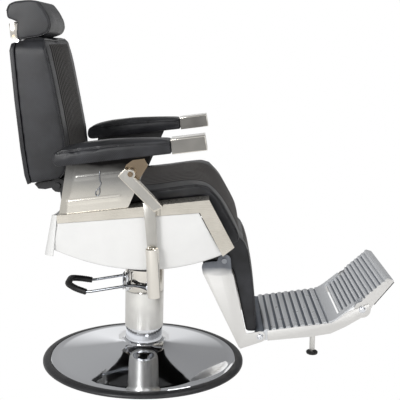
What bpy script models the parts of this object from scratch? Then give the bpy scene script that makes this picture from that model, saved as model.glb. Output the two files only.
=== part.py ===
"""Hydraulic barber chair, modelled as an assembly of separate parts.

Metres, +Z up.  The chair faces -Y and is symmetric about X = 0, apart from the
recline lever on the sitter's right (-X).  The origin is on the floor, on the axis
of the column.  Side outlines are given as (y, z) points of the real profile.
"""
import bmesh
import bpy
from math import atan2, cos, pi, radians, sin
from mathutils import Matrix, Vector

# ---------------------------------------------------------------- driving sizes
GAP = 0.0003                 # clearance between pieces that touch
SHEET = 0.003                # stainless side plates

BASE_RADIUS = 0.325          # outside of the rubber ring
RING_WIDTH = 0.026
RING_HEIGHT = 0.014
PLATE_HEIGHT = 0.010         # ballast plate under the chrome cover

COLUMN_RADIUS = 0.0617       # outer sleeve
GUIDE_RADIUS = 0.0594        # fixed tube inside the sleeve
SLEEVE_BOTTOM = 0.116
SLEEVE_SEAM = 0.2365         # where the pump head meets the sleeve
HEAD_TOP = 0.3110
RAM_RADIUS = 0.018

RAIL_X = 0.345               # outer face of the trim rails
FLANGE_X = 0.270             # inner edge of the rail's top flange
SEAT_X = 0.262               # half width of the seat cushion
SEAT_REAR = 0.195            # back end of the seat cushion and its board
FRAME_X = 0.175              # half width of the chassis
ARM_OUT = 0.366
ARM_IN = 0.290
PLATE_X = 0.3400             # outer face of the arm plates
BACK_X = 0.210
HEAD_X = 0.125
LEG_X = 0.1815               # outer face of the legrest and footrest side plates
LEG_PAD_X = 0.163
FORK_X = 0.148               # half width of the opening in the footrest

BACK_AXIS = (0.247, 0.598)   # (y, z) of each cross axis
LEG_AXIS = (-0.250, 0.385)
FOOT_AXIS = (-0.366, 0.150)
FLAP_AXIS = (-0.670, 0.245)
LEVER_AXIS = (0.016, 0.668)
PUMP_AXIS = (-0.018, 0.262)
HEAD_AXIS = (0.390, 1.046)
LUG = (0.285, 0.566)         # where the recline rod would be pinned to the back
CYLINDER_AXIS = (-0.085, 0.430)
CYLINDER_ANGLE = atan2(LUG[1] - CYLINDER_AXIS[1], LUG[0] - CYLINDER_AXIS[0])
LEG_SWEEP = 0.094            # free radius for the top of the legrest
BACK_LEAN = atan2(0.028, 0.283)

ROUND = 40                   # sides of a large turned piece
SMALL = 20                   # sides of a pin


def rail_top(y):
    """Height of the top edge of the trim rails, which fall towards the back."""
    return 0.543 + (0.221 - y) * 0.1325


def rail_bottom(y):
    """Height of the lower edge of the trim rails."""
    return 0.521 + (0.217 - y) * 0.105


# ---------------------------------------------------------------- scene helpers
for old in list(bpy.data.objects):
    bpy.data.objects.remove(old, do_unlink=True)

chair = bpy.data.collections.new("barber_chair")
cutters = bpy.data.collections.new("cutters")
bpy.context.scene.collection.children.link(chair)
bpy.context.scene.collection.children.link(cutters)
joints = {}


def material(name, colour, metallic, roughness):
    """A Principled material with the piece's colour and finish."""
    mat = bpy.data.materials.get(name)
    if mat is None:
        mat = bpy.data.materials.new(name)
        mat.use_nodes = True
        shader = mat.node_tree.nodes["Principled BSDF"]
        shader.inputs["Base Color"].default_value = (*colour, 1.0)
        shader.inputs["Metallic"].default_value = metallic
        shader.inputs["Roughness"].default_value = roughness
        mat.diffuse_color = (*colour, 1.0)
    return mat


def chrome():
    return material("chrome", (0.62, 0.63, 0.65), 1.0, 0.06)


def stainless():
    return material("stainless", (0.66, 0.64, 0.60), 1.0, 0.22)


def aluminium():
    return material("cast_aluminium", (0.48, 0.50, 0.52), 1.0, 0.35)


def steel():
    return material("dark_steel", (0.11, 0.12, 0.13), 0.8, 0.45)


def leather():
    return material("black_leather", (0.022, 0.022, 0.024), 0.0, 0.5)


def rubber():
    return material("black_rubber", (0.015, 0.015, 0.015), 0.0, 0.7)


def white_gloss():
    return material("white_gloss", (0.86, 0.86, 0.85), 0.0, 0.12)


def plywood():
    return material("plywood", (0.45, 0.30, 0.16), 0.0, 0.7)


def joint(name, location, parent=None):
    """An empty on a joint's axis; the moving pieces hang from it."""
    empty = bpy.data.objects.new("joint_" + name, None)
    empty.empty_display_size = 0.05
    chair.objects.link(empty)
    empty.location = location
    joints[name] = (empty, Vector(location))
    if parent:
        empty.parent = joints[parent][0]
        empty.matrix_parent_inverse = Matrix.Translation(-joints[parent][1])
    return empty


def cross_joint(name, axis, parent):
    """A joint on a cross axis given by its (y, z)."""
    return joint(name, (0.0, axis[0], axis[1]), parent)


def finish(obj, mat, body=None):
    """Give a piece its material and hang it from its joint."""
    obj.data.materials.clear()
    obj.data.materials.append(mat)
    if body:
        obj.parent = joints[body][0]
        obj.matrix_parent_inverse = Matrix.Translation(-joints[body][1])
    return obj


def link(name, data, collection=None):
    obj = bpy.data.objects.new(name, data)
    (collection or chair).objects.link(obj)
    return obj


def make_mesh(curve_object):
    """Turn a curve object into a mesh object with its caps welded."""
    bpy.context.view_layer.update()
    evaluated = curve_object.evaluated_get(bpy.context.evaluated_depsgraph_get())
    data = bpy.data.meshes.new_from_object(evaluated)
    work = bmesh.new()
    work.from_mesh(data)
    bmesh.ops.remove_doubles(work, verts=work.verts, dist=0.00001)
    work.to_mesh(data)
    work.free()
    name = curve_object.name
    place = curve_object.matrix_world.copy()
    collection = curve_object.users_collection[0]
    bpy.data.objects.remove(curve_object, do_unlink=True)
    obj = link(name, data, collection)
    obj.matrix_world = place
    return obj


def bevel(obj, width, segments=2, angle=35):
    mod = obj.modifiers.new("round_edges", "BEVEL")
    mod.width = width
    mod.segments = segments
    mod.limit_method = "ANGLE"
    mod.angle_limit = radians(angle)
    return mod


def boolean(obj, other, operation):
    mod = obj.modifiers.new(operation.lower(), "BOOLEAN")
    mod.operation = operation
    mod.object = other
    mod.solver = "EXACT"
    return mod


def hide(obj):
    """Keep a cutter or a guide out of the assembly."""
    for collection in list(obj.users_collection):
        collection.objects.unlink(obj)
    cutters.objects.link(obj)
    obj.hide_render = True
    obj.display_type = "WIRE"
    return obj


def circle(centre, radius, count=SMALL, start=0.0, sweep=2 * pi):
    """Points on an arc; a full circle leaves out its closing point."""
    closed = abs(sweep - 2 * pi) < 1e-6
    steps = count if closed else count - 1
    return [(centre[0] + radius * cos(start + sweep * i / steps),
             centre[1] + radius * sin(start + sweep * i / steps)) for i in range(count)]


def side_prism(name, outline, x_from, x_to, holes=()):
    """A flat (y, z) outline extruded along X, as a mesh object."""
    curve = bpy.data.curves.new(name, "CURVE")
    curve.dimensions = "2D"
    curve.fill_mode = "BOTH"
    curve.extrude = abs(x_to - x_from) / 2
    for loop in (outline, *holes):
        spline = curve.splines.new("POLY")
        spline.points.add(len(loop) - 1)
        for point, (y, z) in zip(spline.points, loop):
            point.co = (y, z, 0.0, 1.0)
        spline.use_cyclic_u = True
    obj = link(name, curve)
    obj.location = ((x_from + x_to) / 2, 0.0, 0.0)
    obj.rotation_euler = (pi / 2, 0.0, pi / 2)
    return make_mesh(obj)


def turned(name, profile, count=ROUND):
    """A (radius, z) profile turned round the Z axis, listed down its outer side."""
    data = bpy.data.meshes.new(name)
    points = [(r, 0.0, z) for r, z in profile]
    edges = [(i, (i + 1) % len(points)) for i in range(len(points))]
    if profile[0][0] == 0.0:
        edges.pop()
    data.from_pydata(points, edges, [])
    obj = link(name, data)
    mod = obj.modifiers.new("turn", "SCREW")
    mod.steps = count
    mod.render_steps = count
    mod.use_merge_vertices = True
    mod.merge_threshold = 0.00001
    mod.use_normal_calculate = False
    return obj


def rod(name, start, end, radius, count=SMALL):
    """A straight round bar between two points."""
    data = bpy.data.meshes.new(name)
    start, end = Vector(start), Vector(end)
    work = bmesh.new()
    bmesh.ops.create_cone(work, cap_ends=True, segments=count, radius1=radius,
                          radius2=radius, depth=(end - start).length)
    turn = (end - start).to_track_quat("Z", "Y").to_matrix().to_4x4()
    bmesh.ops.transform(work, matrix=Matrix.Translation((start + end) / 2) @ turn,
                        verts=work.verts)
    work.to_mesh(data)
    work.free()
    return link(name, data)


def box(name, low, high):
    data = bpy.data.meshes.new(name)
    work = bmesh.new()
    bmesh.ops.create_cube(work, size=1.0)
    low, high = Vector(low), Vector(high)
    bmesh.ops.scale(work, vec=high - low, verts=work.verts)
    bmesh.ops.translate(work, vec=(low + high) / 2, verts=work.verts)
    work.to_mesh(data)
    work.free()
    return link(name, data)


def pin_cutter(axis, radius):
    return hide(rod("bore", (-0.5, *axis), (0.5, *axis), radius))


def sheet(name, columns, rows, place, thickness):
    """A curved panel: a grid whose points place(u, v) sets, made solid."""
    data = bpy.data.meshes.new(name)
    work = bmesh.new()
    bmesh.ops.create_grid(work, x_segments=columns, y_segments=rows, size=0.5)
    for vert in work.verts:
        vert.co = Vector(place(vert.co.x + 0.5, vert.co.y + 0.5))
    work.to_mesh(data)
    work.free()
    obj = link(name, data)
    mod = obj.modifiers.new("wall", "SOLIDIFY")
    mod.thickness = thickness
    mod.offset = 0.0
    mod.use_even_offset = True
    return obj


def both_sides(maker):
    """Call maker(suffix, sign) for the sitter's right and left."""
    for suffix, sign in (("right", -1), ("left", 1)):
        maker(suffix, sign)


def span(sign, outer, inner):
    """X range of a piece that lies between two distances from the middle."""
    return (sign * inner, sign * outer) if sign > 0 else (-outer, -inner)


# ---------------------------------------------------------------- base and column
def build_base():
    rim = BASE_RADIUS - RING_WIDTH
    disc = rod("base_plate", (0.0, 0.0, 0.0), (0.0, 0.0, PLATE_HEIGHT), rim - 0.003, ROUND + 1)
    finish(disc, steel())
    outer = [(0.066, 0.0700), (0.070, 0.0640), (0.080, 0.0570), (0.100, 0.0495),
             (0.135, 0.0410), (0.180, 0.0320), (0.230, 0.0230), (0.275, 0.0155),
             (0.292, 0.0130), (rim - GAP, 0.0125)]
    wall = 0.0018
    inner = [(r, z - wall) for r, z in outer[1:-1]] + [(rim - GAP, 0.0106)]
    inner[0] = (0.0690, 0.0615)
    lip = [(0.0600, 0.0600), (0.0600, 0.0690), (0.0620, 0.0700)]
    cover = turned("base_cover", outer + inner[::-1] + lip)
    finish(cover, chrome())
    ring = turned("base_ring", [(rim, RING_HEIGHT - 0.001), (rim + 0.006, RING_HEIGHT),
                                (rim + 0.017, RING_HEIGHT - 0.001),
                                (BASE_RADIUS - 0.003, RING_HEIGHT - 0.004),
                                (BASE_RADIUS, RING_HEIGHT - 0.008),
                                (BASE_RADIUS, 0.002), (BASE_RADIUS - 0.002, 0.0),
                                (rim, 0.0)])
    finish(ring, rubber())
    guide = turned("guide_tube", [(GUIDE_RADIUS, 0.286), (GUIDE_RADIUS, PLATE_HEIGHT + GAP),
                                  (GUIDE_RADIUS - 0.004, PLATE_HEIGHT + GAP),
                                  (GUIDE_RADIUS - 0.004, 0.286)])
    finish(guide, chrome())
    ram = turned("ram_rod", [(0.0, 0.284), (0.026, 0.284), (0.028, 0.282), (0.028, 0.264),
                             (0.026, 0.262), (RAM_RADIUS, 0.262),
                             (RAM_RADIUS, PLATE_HEIGHT + GAP), (0.0, PLATE_HEIGHT + GAP)], 32)
    finish(ram, chrome())


def build_column():
    joint("lift", (0.0, 0.0, SLEEVE_BOTTOM))
    inside = GUIDE_RADIUS + GAP
    sleeve = turned("column_sleeve", [(COLUMN_RADIUS, SLEEVE_SEAM - GAP),
                                      (COLUMN_RADIUS, SLEEVE_BOTTOM + 0.001),
                                      (COLUMN_RADIUS - 0.0008, SLEEVE_BOTTOM),
                                      (inside, SLEEVE_BOTTOM), (inside, SLEEVE_SEAM - GAP)])
    finish(sleeve, stainless(), "lift")
    head = turned("pump_head", [(COLUMN_RADIUS, HEAD_TOP), (COLUMN_RADIUS, SLEEVE_SEAM),
                                (inside, SLEEVE_SEAM), (inside, HEAD_TOP)])

    def stub(suffix, sign):
        boss = rod("pump_stub_" + suffix, (sign * 0.0580, *PUMP_AXIS), (sign * 0.0765, *PUMP_AXIS),
                   0.0045, 16)
        boolean(head, hide(boss), "UNION")

    both_sides(stub)
    finish(head, chrome(), "lift")
    tube = turned("oil_cylinder", [(0.0, 0.3105), (0.034, 0.3105), (0.034, 0.092),
                                   (0.031, 0.090), (RAM_RADIUS + 0.0005, 0.090),
                                   (RAM_RADIUS + 0.0005, 0.098), (0.0285, 0.098),
                                   (0.0285, 0.3065), (0.0, 0.3065)], 32)
    finish(tube, steel(), "lift")
    cap = turned("top_plate", [(0.0, HEAD_TOP + 0.0083), (0.060, HEAD_TOP + 0.0083),
                               (COLUMN_RADIUS, HEAD_TOP + 0.0070),
                               (COLUMN_RADIUS, HEAD_TOP + GAP), (0.0, HEAD_TOP + GAP)])
    finish(cap, steel(), "lift")
    clevis = side_prism("pump_bracket", [(0.0, 0.243), (0.014, 0.243), (0.014, 0.300),
                                         (0.0, 0.306), (-0.006, 0.300), (-0.006, 0.249)],
                        -0.012, 0.012)
    bevel(clevis, 0.002)
    clevis.matrix_world = (Matrix.Rotation(radians(42), 4, "Z")
                           @ Matrix.Translation((0.0, COLUMN_RADIUS + 0.0065, 0.0))
                           @ clevis.matrix_world)
    finish(clevis, chrome(), "lift")


def wire(name, points, radius, resolution=2, cyclic=False):
    """A round wire through points, as a curve with a bevel and filled ends."""
    curve = bpy.data.curves.new(name, "CURVE")
    curve.dimensions = "3D"
    curve.bevel_depth = radius
    curve.bevel_resolution = resolution
    curve.use_fill_caps = True
    spline = curve.splines.new("POLY")
    spline.points.add(len(points) - 1)
    for point, place in zip(spline.points, points):
        point.co = (*place, 1.0)
    spline.use_cyclic_u = cyclic
    return link(name, curve)


def rounded_path(corners, radius, steps=4):
    """The corners of a path with each inner corner turned into an arc."""
    path = [Vector(corners[0])]
    for before, here, after in zip(corners, corners[1:], corners[2:]):
        here = Vector(here)
        first = (Vector(before) - here)
        second = (Vector(after) - here)
        reach = min(radius, first.length * 0.45, second.length * 0.45)
        a = here + first.normalized() * reach
        b = here + second.normalized() * reach
        for i in range(steps + 1):
            t = i / steps
            path.append(a.lerp(here, t).lerp(here.lerp(b, t), t))
    path.append(Vector(corners[-1]))
    return path


def build_pump():
    cross_joint("pump", PUMP_AXIS, "lift")
    leg = 0.0690
    pivot_y, pivot_z = PUMP_AXIS
    end_y, end_z = 0.178, 0.240
    tip_y, tip_z = 0.243, 0.256
    loop = [(-leg, pivot_y, pivot_z), (-leg, 0.035, 0.268), (-leg, end_y, end_z),
            (-0.058, 0.214, 0.248), (-0.034, tip_y, tip_z), (0.034, tip_y, tip_z),
            (0.058, 0.214, 0.248), (leg, end_y, end_z), (leg, 0.035, 0.268),
            (leg, pivot_y, pivot_z)]
    path = rounded_path(loop, 0.018, 3)
    inner = 0.0042
    handle = make_mesh(wire("pump_handle", path, inner, 1))

    def eye(suffix, sign):
        ring = rod("pump_eye_" + suffix, (sign * 0.0645, *PUMP_AXIS), (sign * 0.0742, *PUMP_AXIS),
                   0.0095, 16)
        boolean(handle, hide(ring), "UNION")
        hole = rod("pump_eye_bore_" + suffix, (sign * 0.0600, *PUMP_AXIS),
                   (sign * 0.0800, *PUMP_AXIS), 0.0049, 16)
        boolean(handle, hide(hole), "DIFFERENCE")

    both_sides(eye)
    finish(handle, chrome(), "pump")
    grip_path = rounded_path([(-leg + 0.0015, end_y + 0.004, end_z + 0.001), *loop[3:7],
                              (leg - 0.0015, end_y + 0.004, end_z + 0.001)], 0.018, 3)
    grip = make_mesh(wire("pump_grip", grip_path, 0.0092, 2))
    bore = hide(make_mesh(wire("grip_bore", path, inner + GAP, 1)))
    boolean(grip, bore, "DIFFERENCE")
    finish(grip, rubber(), "pump")


# ---------------------------------------------------------------- seat structure
def build_chassis():
    joint("swivel", (0.0, 0.0, HEAD_TOP), "lift")
    low = HEAD_TOP + 0.0086
    plate = box("swivel_plate", (-0.062, -0.062, low), (0.062, 0.062, low + 0.008))
    bevel(plate, 0.012, 3, 60)
    finish(plate, steel(), "swivel")

    floor = low + 0.008 + GAP
    wall, shoulder, pan_x = 0.006, 0.374, 0.080
    outline = [(-0.142, shoulder), (0.170, shoulder), (0.205, 0.410),
               (0.205, board_bottom(0.205)), (-0.166, board_bottom(-0.166)), (-0.150, 0.470)]
    tub = side_prism("seat_frame", outline, -FRAME_X, FRAME_X)
    pan = [(-0.062, floor), (0.062, floor), (0.115, 0.380), (-0.115, 0.380)]
    boolean(tub, hide(side_prism("pan", pan, -pan_x, pan_x)), "UNION")
    hollow = [(-0.136, shoulder + wall), (0.167, shoulder + wall), (0.199, 0.414),
              (0.199, 0.640), (-0.158, 0.640), (-0.143, 0.470)]
    boolean(tub, hide(side_prism("tub_hollow", hollow, wall - FRAME_X, FRAME_X - wall)),
            "DIFFERENCE")
    well = [(-0.057, floor + wall), (0.057, floor + wall), (0.107, 0.385), (-0.107, 0.385)]
    boolean(tub, hide(side_prism("pan_hollow", well, wall - pan_x, pan_x - wall)),
            "DIFFERENCE")
    boolean(tub, hide(box("strut_slot", (-0.045, 0.190, 0.470), (0.045, 0.215, 0.640))),
            "DIFFERENCE")

    def ears(suffix, sign):
        x0, x1 = span(sign, FRAME_X - 0.0005, FRAME_X - wall + 0.0005)
        front = [(-0.135, 0.470), (-0.130, 0.378), (-0.222, 0.388)]
        front += circle(LEG_AXIS, 0.017, 9, radians(290), radians(-250))
        rear = [(0.195, 0.500), (0.205, 0.490), (0.236, 0.540), (0.241, 0.578)]
        rear += circle(BACK_AXIS, 0.021, 9, radians(-100), radians(260))
        rear += [(0.2150, 0.5800), (0.2150, 0.5270), (0.1950, 0.5270)]
        for label, shape in (("front_ear_", front), ("rear_ear_", rear)):
            boolean(tub, hide(side_prism(label + suffix, shape, x0, x1)), "UNION")

    both_sides(ears)
    boolean(tub, pin_cutter(LEG_AXIS, 0.0083), "DIFFERENCE")
    boolean(tub, pin_cutter(BACK_AXIS, 0.0083), "DIFFERENCE")
    finish(tub, steel(), "swivel")

    shaft = rod("back_hinge_shaft", (-0.184, *BACK_AXIS), (0.184, *BACK_AXIS), 0.008)
    finish(shaft, chrome(), "swivel")

    def leg_pin(suffix, sign):
        x0, x1 = span(sign, 0.187, LEG_PAD_X + 0.002)
        finish(rod("legrest_pin_" + suffix, (x0, *LEG_AXIS), (x1, *LEG_AXIS), 0.008),
               chrome(), "swivel")

    both_sides(leg_pin)


def board_bottom(y):
    return rail_top(y) - 0.0031 - 0.012


def build_seat():
    top = [(y, rail_top(y) - 0.0031) for y in (SEAT_REAR, -0.176)]
    bottom = [(y, board_bottom(y) + GAP) for y in (-0.170, SEAT_REAR)]
    board = side_prism("seat_board", top + [(-0.223, 0.5225), (-0.2435, 0.487),
                                            (-0.2345, 0.485), (-0.213, 0.518)] + bottom,
                       -0.330, 0.330)
    boolean(board, hide(box("rod_room", (-0.020, 0.140, 0.500), (0.020, 0.215, 0.600))),
            "DIFFERENCE")
    finish(board, plywood(), "swivel")

    under = [(y, rail_top(y) - 0.0027) for y in (SEAT_REAR, -0.180)]
    outline = [(SEAT_REAR, 0.575), (0.150, 0.583), (-0.050, 0.609), (-0.140, 0.624),
               (-0.172, 0.627), (-0.197, 0.621), (-0.228, 0.590), (-0.258, 0.540),
               (-0.285, 0.492), (-0.291, 0.474), (-0.286, 0.461), (-0.270, 0.456),
               (-0.258, 0.464), (-0.2315, 0.5150)]
    cushion = side_prism("seat_cushion", outline + under[::-1], -SEAT_X, SEAT_X)
    bevel(cushion, 0.010, 3, 40)
    sweep = rod("legrest_sweep", (-0.176, *LEG_AXIS), (0.176, *LEG_AXIS), LEG_SWEEP, 40)
    boolean(cushion, hide(sweep), "DIFFERENCE")
    finish(cushion, leather(), "swivel")


def build_skirts():
    top_y = (0.2185, -0.172)

    def skirt(suffix, sign):
        def place(u, v):
            y_top = top_y[0] + (top_y[1] - top_y[0]) * u
            y_low = 0.2330 + (-0.2395 - 0.2330) * u
            z_top = rail_bottom(y_top) - 0.0010
            z_low = 0.391 + 0.85 * (y_low + 0.010) ** 2 - 0.18 * (y_low + 0.010) ** 3
            y = y_low + (y_top - y_low) * v
            z = z_low + (z_top - z_low) * v
            x = 0.3410 - (0.004 + 0.010 * (1 - v)) * (y / 0.24) ** 2 - 0.010 * (1 - v) ** 2
            return (sign * x, y, z)

        finish(sheet("side_skirt_" + suffix, 14, 5, place, 0.003), white_gloss(), "swivel")

    both_sides(skirt)

    def rear(u, v):
        low_path = [(-0.327, 0.2375), (-0.325, 0.2440), (-0.315, 0.2550), (-0.298, 0.2620),
                    (-0.270, 0.2650)]
        side = min(u, 1 - u)
        reach = side / 0.25 * (len(low_path) - 1)
        if reach >= len(low_path) - 1:
            x = 0.270 * (1 - (side - 0.25) / 0.25)
            y = 0.2650
        else:
            i = int(reach)
            t = reach - i
            x = -(low_path[i][0] + (low_path[i + 1][0] - low_path[i][0]) * t)
            y = low_path[i][1] + (low_path[i + 1][1] - low_path[i][1]) * t
        x *= 1.0 + 0.028 * v
        y -= (0.0145 + 0.011 * min(1.0, reach / (len(low_path) - 1))) * v
        middle = 1 - (x / 0.335) ** 2
        z_low = 0.424 - 0.020 * middle
        z_top = 0.542 - 0.019 * (1 - (x / 0.335) ** 4)
        z = z_low + (z_top - z_low) * v
        return (x if u > 0.5 else -x, y, z)

    finish(sheet("rear_cover", 16, 4, rear, 0.003), white_gloss(), "swivel")


def build_rails():
    flange = 0.0025

    def rail(name, sign, outline, y_from, y_to):
        x0, x1 = span(sign, RAIL_X, RAIL_X - flange)
        face = side_prism(name, outline, x0, x1)
        x0, x1 = span(sign, RAIL_X - 0.0010, FLANGE_X)
        strip = [(y_from, rail_top(y_from) - flange), (y_to, rail_top(y_to) - flange),
                 (y_to, rail_top(y_to)), (y_from, rail_top(y_from))]
        boolean(face, hide(side_prism("flange_of_" + name, strip, x0, x1)), "UNION")
        finish(face, stainless(), "swivel")

    def pair(suffix, sign):
        joint_y = -0.065
        rear = [(0.221, rail_top(0.221)), (0.219, rail_bottom(0.219)),
                (joint_y + GAP, rail_bottom(joint_y)), (joint_y + GAP, rail_top(joint_y))]
        rail("rear_rail_" + suffix, sign, rear, 0.221, joint_y + GAP)
        front = [(joint_y - GAP, rail_top(joint_y)), (joint_y - GAP, rail_bottom(joint_y)),
                 (-0.1745, rail_bottom(-0.1745)), (-0.2415, 0.4400), (-0.2730, 0.4665),
                 (-0.1995, rail_top(-0.1995))]
        rail("front_rail_" + suffix, sign, front, joint_y - GAP, -0.1985)

    both_sides(pair)


def build_arms():
    def arm(suffix, sign):
        x0, x1 = span(sign, PLATE_X, PLATE_X - SHEET)
        foot = [(y, rail_top(y) + 0.0006) for y in (0.2165, 0.0300)]
        shape = foot + [(0.0200, rail_top(0.020) + 0.006), (-0.0370, 0.7125),
                        (0.1955, 0.6785)]
        finish(side_prism("arm_plate_" + suffix, shape, x0, x1), stainless(), "swivel")

        x0, x1 = span(sign, ARM_OUT, ARM_IN)
        pad = [(0.214, 0.6815), (-0.0957, 0.7255), (-0.0905, 0.7640), (-0.020, 0.7605),
               (0.070, 0.7535), (0.160, 0.7405), (0.207, 0.7300), (0.226, 0.7190),
               (0.230, 0.7020), (0.226, 0.6860)]
        cushion = side_prism("arm_pad_" + suffix, pad, x0, x1)
        bevel(cushion, 0.006, 3, 25)
        finish(cushion, leather(), "swivel")

        cap = side_prism("arm_cap_" + suffix, [(-0.0962, 0.7245), (-0.1910, 0.7385),
                                               (-0.1830, 0.7785), (-0.0908, 0.7645)],
                         x0, x1)
        bevel(cap, 0.0015, 1)
        finish(cap, chrome(), "swivel")

    both_sides(arm)
    plate = side_prism("lever_bracket", [(0.040, 0.655), (0.030, 0.690), (0.012, 0.7035),
                                         (-0.020, 0.7085), (-0.030, 0.690), (-0.006, 0.650),
                                         (0.020, 0.642)],
                       -PLATE_X - GAP, -PLATE_X - 0.006)
    boolean(plate, pin_cutter(LEVER_AXIS, 0.0053), "DIFFERENCE")
    finish(plate, chrome(), "swivel")
    pin = rod("lever_pin", (-PLATE_X - GAP, *LEVER_AXIS), (-0.3745, *LEVER_AXIS), 0.005)
    finish(pin, chrome(), "swivel")


def build_lever():
    cross_joint("lever", LEVER_AXIS, "swivel")
    outer, inner = -0.3710, -PLATE_X - 0.0075
    bar = [(0.0500, 0.6625), (-0.0495, 0.5650), (-0.0660, 0.5660), (-0.0745, 0.5830),
           (0.0030, 0.6590)]
    bar += circle(LEVER_AXIS, 0.0135, 5, radians(225), radians(-170))
    bar += [(0.0310, 0.6830)]
    lever = side_prism("recline_lever", bar, outer, inner)
    stem = [(-0.0190, 0.5900), (-0.0530, 0.5900), (-0.0590, 0.4645), (-0.0325, 0.4645)]
    boolean(lever, hide(side_prism("lever_stem", stem, outer + 0.0005, outer + 0.0085)), "UNION")
    boolean(lever, pin_cutter(LEVER_AXIS, 0.0053), "DIFFERENCE")
    finish(lever, stainless(), "lever")
    grip = rod("recline_grip", (-0.3665, -0.0456, 0.4620), (-0.3665, -0.0546, 0.3230),
               0.0183, 24)
    bevel(grip, 0.0012, 2)
    finish(grip, chrome(), "lever")


# ---------------------------------------------------------------- back and headrest
def build_back():
    cross_joint("back", BACK_AXIS, "swivel")
    frame_x = FRAME_X - 0.006 - 0.0015
    carrier = [(0.3180, 0.5990), (0.3060, 0.5850), (0.2860, 0.5840)]
    carrier += circle(BACK_AXIS, 0.0165, 9, radians(-30), radians(-160))
    carrier += [(0.2330, 0.6180)]
    frame = side_prism("back_frame", carrier, -frame_x, frame_x)
    lug = [(0.2770, 0.5900)] + circle(LUG, 0.0075, 7, radians(180), radians(180))
    lug += [(0.2940, 0.5900)]
    boolean(frame, hide(side_prism("strut_lug", lug, 0.012, 0.018)), "UNION")
    boolean(frame, pin_cutter(BACK_AXIS, 0.0083), "DIFFERENCE")
    finish(frame, steel(), "back")

    shell = [(0.3300, 0.6040), (0.3385, 0.6300), (0.3490, 0.7030), (0.3645, 0.8460),
             (0.3765, 0.9860), (0.3725, 1.0060), (0.3610, 1.0100), (0.3640, 0.9860),
             (0.3520, 0.8460), (0.3365, 0.7030), (0.3260, 0.6330), (0.3190, 0.6080)]
    panel = side_prism("back_shell", shell, -BACK_X, BACK_X)
    corner_cut(panel, 0.034, "shell")
    finish(panel, leather(), "back")

    pad = [(0.3185, 0.6075), (0.3255, 0.6330), (0.3360, 0.7030), (0.3515, 0.8460),
           (0.3635, 0.9860), (0.3600, 1.0115), (0.2900, 1.0260), (0.2775, 1.0150),
           (0.2600, 0.9450), (0.2420, 0.8550), (0.2200, 0.7390), (0.2130, 0.6800),
           (0.2180, 0.6420), (0.2320, 0.6245)]
    cushion = side_prism("back_cushion", pad, -BACK_X, BACK_X)
    corner_cut(cushion, 0.034, "cushion")
    bevel(cushion, 0.008, 2, 50)
    finish(cushion, leather(), "back")

    lean = (sin(BACK_LEAN), cos(BACK_LEAN))
    base = (0.3745, 0.9000)
    along = [(base[0] + lean[0] * s + lean[1] * d, base[1] + lean[1] * s - lean[0] * d)
             for s, d in ((-0.035, 0.0), (0.035, 0.0), (0.035, 0.020), (-0.035, 0.020))]
    guide = side_prism("headrest_guide", along, -0.034, 0.034)
    bevel(guide, 0.003, 2)
    slot = [(base[0] + lean[0] * s + lean[1] * d, base[1] + lean[1] * s - lean[0] * d)
            for s, d in ((-0.060, 0.0055), (0.060, 0.0055), (0.060, 0.0145), (-0.060, 0.0145))]
    boolean(guide, hide(side_prism("guide_slot", slot, -0.0255, 0.0255)), "DIFFERENCE")
    finish(guide, chrome(), "back")

    joint("headrest_slide", (0.0, *base), "back")
    bar = [(base[0] + lean[0] * s + lean[1] * d, base[1] + lean[1] * s - lean[0] * d)
           for s, d in ((-0.120, 0.0065), (0.156, 0.0065), (0.156, 0.0135), (-0.120, 0.0135))]
    finish(side_prism("headrest_bar", bar, -0.0245, 0.0245), chrome(), "headrest_slide")


def corner_cut(obj, radius, label):
    """Round the two top corners in front view with a flat-sided cutter."""
    def cut(suffix, sign):
        top = 1.040
        centre = (BACK_X - radius, 1.0180 - radius)
        outline = [(BACK_X + 0.01, centre[1]), (BACK_X + 0.01, top), (centre[0], top)]
        outline += circle(centre, radius, 7, pi / 2, -pi / 2)
        curve = bpy.data.curves.new(label + "_corner_" + suffix, "CURVE")
        curve.dimensions = "2D"
        curve.fill_mode = "BOTH"
        curve.extrude = 0.120
        spline = curve.splines.new("POLY")
        spline.points.add(len(outline) - 1)
        for point, (x, z) in zip(spline.points, outline):
            point.co = (sign * x, z, 0.0, 1.0)
        spline.use_cyclic_u = True
        cutter = link(label + "_corner_" + suffix, curve)
        cutter.location = (0.0, 0.320, 0.0)
        cutter.rotation_euler = (pi / 2, 0.0, 0.0)
        boolean(obj, hide(make_mesh(cutter)), "DIFFERENCE")

    both_sides(cut)


def build_headrest():
    cross_joint("headrest_tilt", HEAD_AXIS, "headrest_slide")
    outline = [(0.3060, 1.0270), (0.3700, 1.0150), (0.3760, 1.0350), (0.3740, 1.0680),
               (0.3900, 1.0740), (0.4030, 1.0780), (0.4060, 1.0980), (0.3980, 1.1180),
               (0.3780, 1.1270), (0.3360, 1.1320), (0.3110, 1.1290), (0.2920, 1.1050),
               (0.2780, 1.0790), (0.2740, 1.0560), (0.2830, 1.0370)]
    pad = side_prism("headrest_pad", outline, -HEAD_X, HEAD_X)
    bevel(pad, 0.009, 2, 25)
    finish(pad, leather(), "headrest_tilt")
    plate = [(0.3785, 1.0180), (0.3825, 1.0180), (0.3825, 1.0390)]
    plate += circle(HEAD_AXIS, 0.0052, 7, radians(-100), radians(200))
    plate += [(0.3825, 1.0530), (0.3825, 1.0660), (0.3785, 1.0660)]
    bracket = side_prism("headrest_bracket", plate, -0.095, 0.095)
    finish(bracket, chrome(), "headrest_tilt")


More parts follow.
